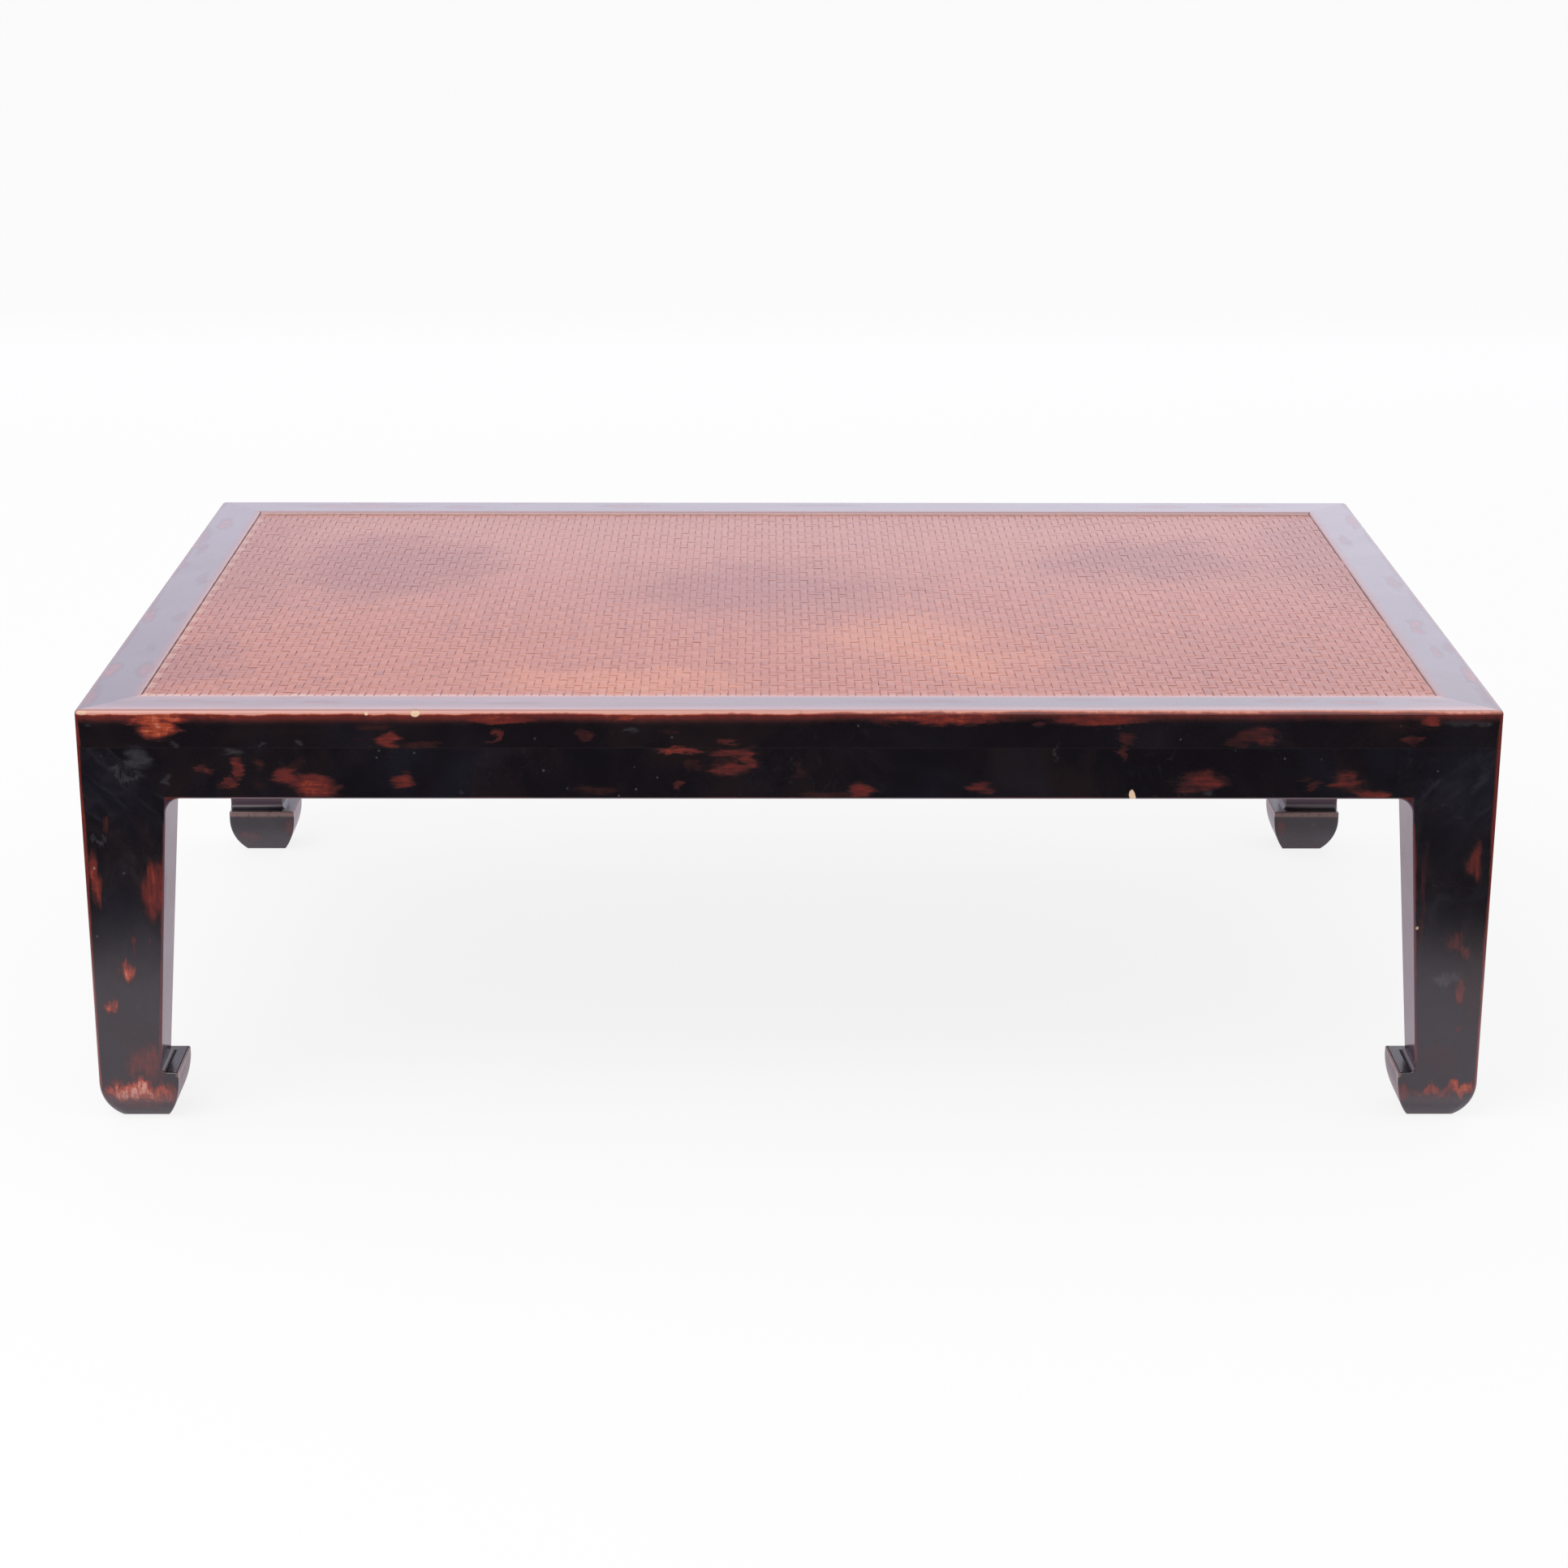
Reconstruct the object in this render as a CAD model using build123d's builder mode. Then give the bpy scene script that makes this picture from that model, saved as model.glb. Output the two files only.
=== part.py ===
"""Low flush-sided table: mitred top frame, matted panel, aprons and four hoof-footed legs.

Origin at the middle of the footprint, on the ground. +X runs along the table, +Y to its back,
+Z up. All sizes in millimetres.
"""
from build123d import *
import os

os.makedirs("parts", exist_ok=True)

# Overall size
length = 1200.0
depth = 786.0
height = 374.0
corner_arris = 4.0       # rounding of the four upright outer corners
top_arris = 3.5          # rounding of the table top's outer edge

# Top frame
rail_width = 46.5
rail_thickness = 33.0
rim_arris = 1.2          # rounding of the frame's inner top edge
corner_tenon_width = 17.0
corner_tenon_thickness = 9.0
corner_tenon_cover = 10.0    # wood left above the corner tenon
corner_tenon_end = 7.0       # wood left between the tenon's end and the outer face
corner_tenon_setback = 16.0  # from the rail's outer face to the tenon

# Matted panel
mat_recess = 2.0
mat_thickness = 3.0
mat_play = 0.3
board_count = 4
board_thickness = 10.0
panel_tongue = 5.0       # thickness of the tongue round the panel
panel_tongue_reach = 8.0
panel_play = 0.15        # across the groove
panel_float = 1.5        # beyond the tongue's end
board_tongue = 3.6       # tongue between neighbouring boards
board_tongue_reach = 5.0
board_seam = 0.2

# Cross battens
batten_offset = 300.0    # from the middle batten to its neighbours
batten_width = 36.0
batten_clearance = 1.0   # from the batten's underside to the frame's underside
dovetail_depth = 3.5
dovetail_flare = 1.5
batten_tenon_width = 22.0
batten_tenon_thickness = 9.0
batten_tenon_reach = 13.0

# Aprons
apron_height = 45.0
apron_thickness = 24.0
corner_radius = 14.0     # rounded inner corner between apron and leg
shoulder_land = 3.5      # leg left standing between the two mitred apron ends
apron_tenon_thickness = 8.0
apron_tenon_height = 20.0
apron_tenon_rise = 12.0      # from the apron's lower edge to the tenon
apron_tenon_setback = 8.0    # from the outer face to the tenon
apron_tenon_end = 23.0       # from the leg's outer face to the tenon's end

# Legs: width under the apron on the long face of the table and on its short side
face_leg_width = 72.5
side_leg_width = 66.0
leg_taper = 17.5         # how much narrower a leg is at its ledge
toe_reach = 14.5         # how far the toe stands out beyond the leg above it
sole_setback = 12.5      # from the toe's tip back to the end of the sole
toe_bulge = 2.0          # how far the toe stands inside its tip at half its height
toe_arris = 2.0
ledge_height = 46.0
ledge_fillet = 5.0
heel_height = 36.0       # where the outer face starts to curve in
heel_inset = 16.0        # how far it has curved in at the ground
leg_arris = 1.8          # rounding of a leg's inner edges
sole_arris = 1.5
leg_tenon_height = 12.0
leg_tenon_long = 20.0
leg_tenon_short = 12.0
leg_tenon_setback = 9.0      # from the outer face to the tenon
leg_tenon_start = 27.0       # from the corner along the rail to the tenon

# Loose tenons between frame and aprons
key_length = 30.0
key_thickness = 9.0
key_reach = 10.0             # into each of the two pieces
key_setback = 7.5            # from the outer face to the key
long_key_places = (-330.0, 0.0, 330.0)
end_key_places = (-150.0, 150.0)

joint_play = 0.15            # round every tenon in its mortise
overshoot = 1.0              # how far a cut or a test area runs past what it has to clear

# Levels and lines that follow from the sizes above
frame_base = height - rail_thickness
apron_base = frame_base - apron_height
mat_top = height - mat_recess
board_top = mat_top - mat_thickness
board_base = board_top - board_thickness
opening_length = length - 2 * rail_width
opening_depth = depth - 2 * rail_width
left_edge = -length / 2
front_edge = -depth / 2
corner_tenon_top = height - corner_tenon_cover
shoulder_top = apron_thickness + shoulder_land
front_plane = Plane.XZ.offset(depth / 2)
side_plane = Plane.YZ.offset(-length / 2)


def block(low, high, mode=Mode.ADD):
    """A box between two opposite corners, put into the part that is open."""
    size = [b - a for a, b in zip(low, high)]
    centre = tuple((a + b) / 2 for a, b in zip(low, high))
    with Locations(centre):
        Box(*size, mode=mode)


def grown(low, high, play):
    """The corners of a box enlarged by a play on every side."""
    return [a - play for a in low], [b + play for b in high]


def shoulder_window(edge, leg_width):
    """Corners of the area that an apron fills between its two mitres, low corners last."""
    run = leg_width - shoulder_top
    overrun = corner_radius * run / apron_height
    top_x = edge + shoulder_top
    low_x = edge + leg_width + overrun
    low_z = apron_base - corner_radius
    return [(top_x, frame_base), (-top_x, frame_base), (-low_x, low_z), (low_x, low_z)]


def gate_outline(edge, leg_width):
    """Sketch of the leg tops and the apron of one side, round the rounded head of the opening."""
    head_drop = 2 * corner_radius
    low_z = apron_base - head_drop
    low_x = edge + leg_width - head_drop * leg_taper / (apron_base - ledge_height)
    with BuildSketch(mode=Mode.PRIVATE) as opening:
        Polygon((edge + leg_width, apron_base), (-edge - leg_width, apron_base),
                (-low_x, low_z), (low_x, low_z), align=None)
        fillet(opening.vertices().group_by(Axis.Y)[-1], corner_radius)
    Polygon((edge, frame_base), (-edge, frame_base), (-edge, low_z), (edge, low_z), align=None)
    add(opening.sketch, mode=Mode.SUBTRACT)


def shoulder_area(edge, leg_width):
    """Corners of the area round one rounded inner corner, where leg and apron meet."""
    low_x = edge + leg_width - leg_taper
    high_x = edge + leg_width + corner_radius
    low_z = apron_base - corner_radius
    return [(low_x, frame_base), (high_x, frame_base), (high_x, low_z), (low_x, low_z)]


def leg_outline(edge, leg_width):
    """Sketch of one face of a leg: upright outside, tapering inside, ledge and toe below."""
    ankle_x = edge + leg_width - leg_taper
    tip_x = ankle_x + toe_reach
    with BuildLine() as rim_line:
        head = Line((edge + leg_width, frame_base), (edge, frame_base))
        outside = Line(head @ 1, (edge, heel_height))
        heel = TangentArc(outside @ 1, (edge + heel_inset, 0), tangent=outside % 1)
        sole = Line(heel @ 1, (tip_x - sole_setback, 0))
        toe = ThreePointArc(sole @ 1, (tip_x - toe_bulge, ledge_height / 2), (tip_x, ledge_height))
        ledge = Line(toe @ 1, (ankle_x, ledge_height))
        taper = Line(ledge @ 1, (edge + leg_width, apron_base))
        Line(taper @ 1, head @ 0)
    make_face(rim_line.edges())
    fillet(vertices().sort_by_distance((ankle_x, ledge_height))[0], ledge_fillet)
    fillet(vertices().sort_by_distance((tip_x, ledge_height))[0], toe_arris)


def rounds_opening(edge):
    """Whether an edge of a gate's outer face runs round the head of the opening."""
    middle = edge @ 0.5
    clear_x = abs(middle.X) < -left_edge - leg_taper
    clear_y = abs(middle.Y) < -front_edge - leg_taper
    low_z = apron_base - 2 * corner_radius
    return low_z < middle.Z < apron_base + overshoot and (clear_x or clear_y)


def leg_edges(leg, outer):
    """Edges that run down a leg blank: those of its outer corner, or the two beside it."""
    chosen = ShapeList()
    for edge in leg.edges().filter_by(Axis.X, reverse=True).filter_by(Axis.Y, reverse=True):
        middle = edge @ 0.5
        near_left = middle.X < left_edge + heel_inset
        near_front = middle.Y < front_edge + heel_inset
        if (near_left and near_front) if outer else (near_left != near_front):
            chosen.append(edge)
    return chosen


# Outer envelope: every outside piece is trimmed to it, so the rounded arrises run on across the joints
with BuildPart() as envelope:
    block((left_edge, front_edge, 0), (-left_edge, -front_edge, height))
    fillet(envelope.edges().filter_by(Axis.Z), corner_arris)
    fillet(envelope.faces().sort_by(Axis.Z)[-1].edges(), top_arris)

# Groove that the panel's tongue runs in, cut round all four rails
groove_low = (-opening_length / 2 - panel_tongue_reach - panel_float,
              -opening_depth / 2 - panel_tongue_reach - panel_float,
              board_base - panel_play)
groove_high = (-groove_low[0], -groove_low[1], board_base + panel_tongue + panel_play)

# Tenons at the front left corner, each as the two corners of a box
corner_tenon = ((left_edge + corner_tenon_end, front_edge + corner_tenon_setback,
                 corner_tenon_top - corner_tenon_thickness),
                (left_edge + 2 * rail_width, front_edge + corner_tenon_setback + corner_tenon_width,
                 corner_tenon_top))
leg_tenon_face = ((left_edge + leg_tenon_start, front_edge + leg_tenon_setback, frame_base),
                  (left_edge + leg_tenon_start + leg_tenon_long,
                   front_edge + leg_tenon_setback + leg_tenon_short, frame_base + leg_tenon_height))
leg_tenon_side = ((left_edge + leg_tenon_setback, front_edge + leg_tenon_start, frame_base),
                  (left_edge + leg_tenon_setback + leg_tenon_short,
                   front_edge + leg_tenon_start + leg_tenon_long, frame_base + leg_tenon_height))
apron_tenon_low = apron_base + apron_tenon_rise
apron_tenon_high = apron_tenon_low + apron_tenon_height
front_apron_tenon = ((left_edge + apron_tenon_end, front_edge + apron_tenon_setback, apron_tenon_low),
                     (left_edge + face_leg_width,
                      front_edge + apron_tenon_setback + apron_tenon_thickness, apron_tenon_high))
side_apron_tenon = ((left_edge + apron_tenon_setback, front_edge + apron_tenon_end, apron_tenon_low),
                    (left_edge + apron_tenon_setback + apron_tenon_thickness,
                     front_edge + side_leg_width, apron_tenon_high))

# Battens: where they stand and how their ends enter the long rails
batten_places = {"batten_left": -batten_offset, "batten_middle": 0.0, "batten_right": batten_offset}
batten_base = frame_base + batten_clearance
batten_tenon_base = (batten_base + board_base - batten_tenon_thickness) / 2


def batten_tenons(place):
    """Corners of the bar whose two ends are a batten's tenons."""
    reach = opening_depth / 2 + batten_tenon_reach
    return ((place - batten_tenon_width / 2, -reach, batten_tenon_base),
            (place + batten_tenon_width / 2, reach, batten_tenon_base + batten_tenon_thickness))


def key_boxes():
    """Corners of the loose tenons of the front and the left side, as (front, left) lists."""
    low_z = frame_base - key_reach
    high_z = frame_base + key_reach
    front_y = front_edge + key_setback
    left_x = left_edge + key_setback
    front = [((x - key_length / 2, front_y, low_z), (x + key_length / 2, front_y + key_thickness, high_z))
             for x in long_key_places]
    left = [((left_x, y - key_length / 2, low_z), (left_x + key_thickness, y + key_length / 2, high_z))
            for y in end_key_places]
    return front, left


front_keys, left_keys = key_boxes()

# Long rail: mitred ends with a tenon each, groove, mortises for legs, keys and battens
with BuildPart() as front_long_rail:
    with BuildSketch(Plane.XY.offset(frame_base)):
        Polygon((left_edge, front_edge), (-left_edge, front_edge),
                (-left_edge - rail_width, front_edge + rail_width),
                (left_edge + rail_width, front_edge + rail_width), align=None)
    extrude(amount=rail_thickness)
    rim = front_long_rail.faces().sort_by(Axis.Z)[-1].edges().sort_by(Axis.Y)[-1]
    fillet(rim, rim_arris)
    block(*corner_tenon)
    block((-corner_tenon[1][0], *corner_tenon[0][1:]), (-corner_tenon[0][0], *corner_tenon[1][1:]))
    block(groove_low, groove_high, mode=Mode.SUBTRACT)
    for low, high in front_keys:
        block(*grown(low, high, joint_play), mode=Mode.SUBTRACT)
    for low, high in (leg_tenon_face, ((-leg_tenon_face[1][0], *leg_tenon_face[0][1:]),
                                       (-leg_tenon_face[0][0], *leg_tenon_face[1][1:]))):
        block(*grown(low, high, joint_play), mode=Mode.SUBTRACT)
    for place in batten_places.values():
        block(*grown(*batten_tenons(place), joint_play), mode=Mode.SUBTRACT)
    add(envelope.part, mode=Mode.INTERSECT)

with BuildPart() as back_long_rail:
    mirror(front_long_rail.part, about=Plane.XZ)

# End rail: mitred ends with a mortise each, groove, mortises for legs and keys
with BuildPart() as left_end_rail:
    with BuildSketch(Plane.XY.offset(frame_base)):
        Polygon((left_edge, front_edge), (left_edge + rail_width, front_edge + rail_width),
                (left_edge + rail_width, -front_edge - rail_width), (left_edge, -front_edge),
                align=None)
    extrude(amount=rail_thickness)
    rim = left_end_rail.faces().sort_by(Axis.Z)[-1].edges().sort_by(Axis.X)[-1]
    fillet(rim, rim_arris)
    block(groove_low, groove_high, mode=Mode.SUBTRACT)
    for low, high in left_keys:
        block(*grown(low, high, joint_play), mode=Mode.SUBTRACT)
    for low, high in (corner_tenon, leg_tenon_side):
        block(*grown(low, high, joint_play), mode=Mode.SUBTRACT)
        back_low = (low[0], -high[1], low[2])
        back_high = (high[0], -low[1], high[2])
        block(*grown(back_low, back_high, joint_play), mode=Mode.SUBTRACT)
    add(envelope.part, mode=Mode.INTERSECT)

with BuildPart() as right_end_rail:
    mirror(left_end_rail.part, about=Plane.YZ)

# Gates: leg tops and apron of one side as one plate, with the arris round the opening
with BuildPart() as front_gate:
    with BuildSketch(front_plane):
        gate_outline(left_edge, face_leg_width)
    extrude(amount=-apron_thickness)
    outer_face = front_gate.faces().sort_by(Axis.Y)[0]
    fillet(outer_face.edges().filter_by(rounds_opening), leg_arris)

with BuildPart() as side_gate:
    with BuildSketch(side_plane):
        gate_outline(front_edge, side_leg_width)
    extrude(amount=apron_thickness)
    outer_face = side_gate.faces().sort_by(Axis.X)[0]
    fillet(outer_face.edges().filter_by(rounds_opening), leg_arris)

# Front apron: mitred to the leg shoulders, with a tenon at each end
with BuildPart() as front_apron:
    add(front_gate.part)
    with BuildSketch(front_plane):
        Polygon(*shoulder_window(left_edge, face_leg_width), align=None)
    extrude(amount=-apron_thickness, mode=Mode.INTERSECT)
    block(*front_apron_tenon)
    block((-front_apron_tenon[1][0], *front_apron_tenon[0][1:]),
          (-front_apron_tenon[0][0], *front_apron_tenon[1][1:]))
    for low, high in front_keys:
        block(*grown(low, high, joint_play), mode=Mode.SUBTRACT)

with BuildPart() as back_apron:
    mirror(front_apron.part, about=Plane.XZ)

# Side apron: the same on the short side
with BuildPart() as left_apron:
    add(side_gate.part)
    with BuildSketch(side_plane):
        Polygon(*shoulder_window(front_edge, side_leg_width), align=None)
    extrude(amount=apron_thickness, mode=Mode.INTERSECT)
    block(*side_apron_tenon)
    block((side_apron_tenon[0][0], -side_apron_tenon[1][1], apron_tenon_low),
          (side_apron_tenon[1][0], -side_apron_tenon[0][1], apron_tenon_high))
    for low, high in left_keys:
        block(*grown(low, high, joint_play), mode=Mode.SUBTRACT)

with BuildPart() as right_apron:
    mirror(left_apron.part, about=Plane.YZ)

# The part of each gate round its first corner, which the leg keeps a share of
with BuildPart() as front_shoulder:
    add(front_gate.part)
    with BuildSketch(front_plane):
        Polygon(*shoulder_area(left_edge, face_leg_width), align=None)
    extrude(amount=-apron_thickness, mode=Mode.INTERSECT)

with BuildPart() as side_shoulder:
    add(side_gate.part)
    with BuildSketch(side_plane):
        Polygon(*shoulder_area(front_edge, side_leg_width), align=None)
    extrude(amount=apron_thickness, mode=Mode.INTERSECT)

# Leg: square blank cut to an outline on each face, shoulders cut for the aprons, two top tenons
with BuildPart() as leg_front_left:
    with BuildSketch(front_plane):
        leg_outline(left_edge, face_leg_width)
    extrude(amount=-side_leg_width)
    with BuildSketch(side_plane):
        leg_outline(front_edge, side_leg_width)
    extrude(amount=face_leg_width, mode=Mode.INTERSECT)
    fillet(leg_edges(leg_front_left, outer=True), corner_arris)
    fillet(leg_edges(leg_front_left, outer=False), leg_arris)
    fillet(leg_front_left.faces().sort_by(Axis.Z)[0].edges(), sole_arris)
    add(front_shoulder.part)
    add(side_shoulder.part)
    with BuildSketch(front_plane):
        Polygon(*shoulder_window(left_edge, face_leg_width), align=None)
    extrude(amount=-apron_thickness, mode=Mode.SUBTRACT)
    with BuildSketch(side_plane):
        Polygon(*shoulder_window(front_edge, side_leg_width), align=None)
    extrude(amount=apron_thickness, mode=Mode.SUBTRACT)
    for low, high in (front_apron_tenon, side_apron_tenon):
        block(*grown(low, high, joint_play), mode=Mode.SUBTRACT)
    block(*leg_tenon_face)
    block(*leg_tenon_side)
    add(envelope.part, mode=Mode.INTERSECT)

with BuildPart() as leg_front_right:
    mirror(leg_front_left.part, about=Plane.YZ)

with BuildPart() as leg_back_left:
    mirror(leg_front_left.part, about=Plane.XZ)

with BuildPart() as leg_back_right:
    mirror(leg_back_left.part, about=Plane.YZ)

# Panel boards, front to back: tongued into the frame's groove and into each other
panel_reach_x = opening_length / 2 + panel_tongue_reach
panel_reach_y = opening_depth / 2 + panel_tongue_reach
board_pitch = 2 * panel_reach_y / board_count
tongue_base = board_base + (board_thickness - board_tongue) / 2
panel_boards = []
for number in range(board_count):
    low_y = -panel_reach_y + number * board_pitch
    high_y = low_y + board_pitch
    is_first = number == 0
    is_last = number == board_count - 1
    seam_low = low_y if is_first else low_y + board_seam / 2
    seam_high = high_y if is_last else high_y - board_seam / 2
    with BuildPart() as board:
        block((-panel_reach_x, seam_low, board_base), (panel_reach_x, seam_high, board_top))
        # rebate round the panel, so that its upper part drops inside the frame
        with BuildSketch(Plane.XY.offset(board_base + panel_tongue)):
            Rectangle(2 * (panel_reach_x + overshoot), 2 * (panel_reach_y + overshoot))
            Rectangle(opening_length - 2 * mat_play, opening_depth - 2 * mat_play, mode=Mode.SUBTRACT)
        extrude(amount=board_thickness, mode=Mode.SUBTRACT)
        if not is_last:
            block((-opening_length / 2, seam_high, tongue_base),
                  (opening_length / 2, seam_high + board_tongue_reach, tongue_base + board_tongue))
        if not is_first:
            slot_low = (-opening_length / 2, low_y - board_seam, tongue_base)
            slot_high = (opening_length / 2, seam_low + board_tongue_reach, tongue_base + board_tongue)
            block(*grown(slot_low, slot_high, joint_play), mode=Mode.SUBTRACT)
        # sliding dovetail housings for the battens
        for place in batten_places.values():
            with BuildSketch(Plane.XZ.offset(panel_reach_y)):
                neck = batten_width / 2 - dovetail_flare + joint_play
                flare = batten_width / 2 + joint_play
                roof = board_base + dovetail_depth + joint_play
                Polygon((place - neck, board_base), (place + neck, board_base),
                        (place + flare, roof), (place - flare, roof), align=None)
            extrude(amount=-2 * panel_reach_y, mode=Mode.SUBTRACT)
    board.part.label = f"panel_board_{number + 1}"
    panel_boards.append(board.part)

# Mat that lies in the recess, on the boards
with BuildPart() as woven_mat:
    block((-opening_length / 2 + mat_play, -opening_depth / 2 + mat_play, board_top),
          (opening_length / 2 - mat_play, opening_depth / 2 - mat_play, mat_top))

# Battens: dovetailed into the boards, tenoned into the long rails
battens = []
for name, place in batten_places.items():
    with BuildPart() as batten:
        with BuildSketch(Plane.XZ.offset(opening_depth / 2)):
            half = batten_width / 2
            neck = half - dovetail_flare
            Polygon((place - half, batten_base), (place + half, batten_base),
                    (place + half, board_base), (place + neck, board_base),
                    (place + half, board_base + dovetail_depth),
                    (place - half, board_base + dovetail_depth),
                    (place - neck, board_base), (place - half, board_base), align=None)
        extrude(amount=-opening_depth)
        block(*batten_tenons(place))
    batten.part.label = name
    battens.append(batten.part)

# Loose tenons round all four sides
with BuildPart() as frame_keys:
    for low, high in front_keys:
        block(low, high)
        block((low[0], -high[1], low[2]), (high[0], -low[1], high[2]))
    for low, high in left_keys:
        block(low, high)
        block((-high[0], low[1], low[2]), (-low[0], high[1], high[2]))

front_long_rail.part.label = "front_long_rail"
back_long_rail.part.label = "back_long_rail"
left_end_rail.part.label = "left_end_rail"
right_end_rail.part.label = "right_end_rail"
front_apron.part.label = "front_apron"
back_apron.part.label = "back_apron"
left_apron.part.label = "left_apron"
right_apron.part.label = "right_apron"
leg_front_left.part.label = "leg_front_left"
leg_front_right.part.label = "leg_front_right"
leg_back_left.part.label = "leg_back_left"
leg_back_right.part.label = "leg_back_right"
woven_mat.part.label = "woven_mat"
frame_keys.part.label = "frame_keys"

export_step(front_long_rail.part, "parts/front_long_rail.step")
export_step(back_long_rail.part, "parts/back_long_rail.step")
export_step(left_end_rail.part, "parts/left_end_rail.step")
export_step(right_end_rail.part, "parts/right_end_rail.step")
export_step(front_apron.part, "parts/front_apron.step")
export_step(back_apron.part, "parts/back_apron.step")
export_step(left_apron.part, "parts/left_apron.step")
export_step(right_apron.part, "parts/right_apron.step")
export_step(leg_front_left.part, "parts/leg_front_left.step")
export_step(leg_front_right.part, "parts/leg_front_right.step")
export_step(leg_back_left.part, "parts/leg_back_left.step")
export_step(leg_back_right.part, "parts/leg_back_right.step")
export_step(woven_mat.part, "parts/woven_mat.step")
export_step(frame_keys.part, "parts/frame_keys.step")
for piece in panel_boards + battens:
    export_step(piece, f"parts/{piece.label}.step")
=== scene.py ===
import math
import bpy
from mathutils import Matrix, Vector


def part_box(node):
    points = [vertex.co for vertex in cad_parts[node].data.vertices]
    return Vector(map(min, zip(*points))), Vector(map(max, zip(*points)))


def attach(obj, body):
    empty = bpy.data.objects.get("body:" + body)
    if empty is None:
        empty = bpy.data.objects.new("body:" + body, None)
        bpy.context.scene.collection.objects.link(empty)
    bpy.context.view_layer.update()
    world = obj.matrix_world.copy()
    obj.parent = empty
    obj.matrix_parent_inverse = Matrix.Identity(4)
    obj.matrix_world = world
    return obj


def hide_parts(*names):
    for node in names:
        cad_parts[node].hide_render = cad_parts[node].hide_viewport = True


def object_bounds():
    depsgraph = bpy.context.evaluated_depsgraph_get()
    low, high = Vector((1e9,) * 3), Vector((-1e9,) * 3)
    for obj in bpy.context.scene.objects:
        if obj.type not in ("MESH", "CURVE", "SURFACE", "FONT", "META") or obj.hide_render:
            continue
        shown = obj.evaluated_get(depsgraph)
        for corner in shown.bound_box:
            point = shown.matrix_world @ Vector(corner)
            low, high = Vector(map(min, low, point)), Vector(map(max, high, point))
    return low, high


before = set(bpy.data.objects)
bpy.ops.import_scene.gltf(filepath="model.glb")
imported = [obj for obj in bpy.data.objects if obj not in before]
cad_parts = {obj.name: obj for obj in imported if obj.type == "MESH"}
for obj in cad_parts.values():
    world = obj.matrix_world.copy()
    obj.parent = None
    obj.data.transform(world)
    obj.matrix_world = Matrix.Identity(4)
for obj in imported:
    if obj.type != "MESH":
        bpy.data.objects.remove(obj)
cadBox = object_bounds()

from types import SimpleNamespace

import bpy
import numpy as np
from mathutils import Matrix, Vector

scene = bpy.context.scene
scene.view_settings.view_transform = "Standard"
mm = 0.001
print("frame loaded:", len(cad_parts), "pieces")


# helpers for shader nodes: a wire is a number, a tuple or another node's output

def feed(tree, socket, wire):
    if isinstance(wire, bpy.types.NodeSocket):
        tree.links.new(wire, socket)
    else:
        socket.default_value = wire


def put(tree, kind, wires=(), **settings):
    made = tree.nodes.new("ShaderNode" + kind)
    for name, value in settings.items():
        setattr(made, name, value)
    for name, wire in dict(wires).items():
        feed(tree, made.inputs[name], wire)
    return made


def calc(tree, operation, first, second=0.0, third=0.0, clamp=False):
    wires = {0: first, 1: second, 2: third}
    return put(tree, "Math", wires, operation=operation, use_clamp=clamp).outputs[0]


def less(tree, first, second):
    return calc(tree, "SUBTRACT", first, second)


def apart(tree, first, second):
    # how far two values lie from each other
    return calc(tree, "ABSOLUTE", less(tree, first, second))


def plus(tree, base, share, amount, clamp=False):
    # base and share times amount
    return calc(tree, "MULTIPLY_ADD", share, amount, base, clamp)


def times(tree, first, *others):
    for other in others:
        first = calc(tree, "MULTIPLY", first, other)
    return first


def highest(tree, first, *others):
    for other in others:
        first = calc(tree, "MAXIMUM", first, other)
    return first


def shift(tree, operation, first, second=(0, 0, 0), third=(0, 0, 0)):
    wires = {0: first, 1: second, 2: third}
    made = put(tree, "VectorMath", wires, operation=operation)
    return made.outputs["Value" if operation in ("LENGTH", "DOT_PRODUCT") else "Vector"]


def fade(tree, value, start, end, low=0.0, high=1.0):
    # smooth step: low where value is start, high where it is end
    wires = {"Value": value, "From Min": start, "From Max": end, "To Min": low, "To Max": high}
    return put(tree, "MapRange", wires, interpolation_type="SMOOTHSTEP").outputs["Result"]


def slope(tree, value, start, end, low, high):
    # straight line from low, where value is start, to high, where it is end, and level beyond
    wires = {"Value": value, "From Min": start, "From Max": end, "To Min": low, "To Max": high}
    return put(tree, "MapRange", wires).outputs["Result"]


def longGrained(across, lengthwise, grain):
    # one number for each axis, where that of the grain differs
    row = [across, across, across]
    row[grain] = lengthwise
    return row


def noise(tree, place, stretch, detail=3.0, rough=0.55, twist=0.0, offset=(0, 0, 0)):
    # smooth random field with one lump per 1 / stretch metres, for all axes alike or for each
    lumps = stretch if isinstance(stretch, (list, tuple)) else (stretch, stretch, stretch)
    spread = shift(tree, "MULTIPLY_ADD", place, lumps, offset)
    wires = {"Vector": spread, "Scale": 1.0, "Detail": detail, "Roughness": rough, "Distortion": twist}
    return put(tree, "TexNoise", wires).outputs


def cloud(tree, place, stretch, *shape):
    # one random number from 0 to 1, shaped as noise is
    return noise(tree, place, stretch, *shape)["Fac"]


def scatter(tree, place, stretch, *shape):
    # three random numbers about 0, to push a place about by
    return shift(tree, "SUBTRACT", noise(tree, place, stretch, *shape)["Color"], (0.5, 0.5, 0.5))


def blend(tree, share, first, second):
    made = put(tree, "Mix", {"Factor": share}, data_type="RGBA")
    for slot, colour in ((6, first), (7, second)):
        isWire = isinstance(colour, bpy.types.NodeSocket)
        feed(tree, made.inputs[slot], colour if isWire else (*colour, 1.0))
    return made.outputs[2]


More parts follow.
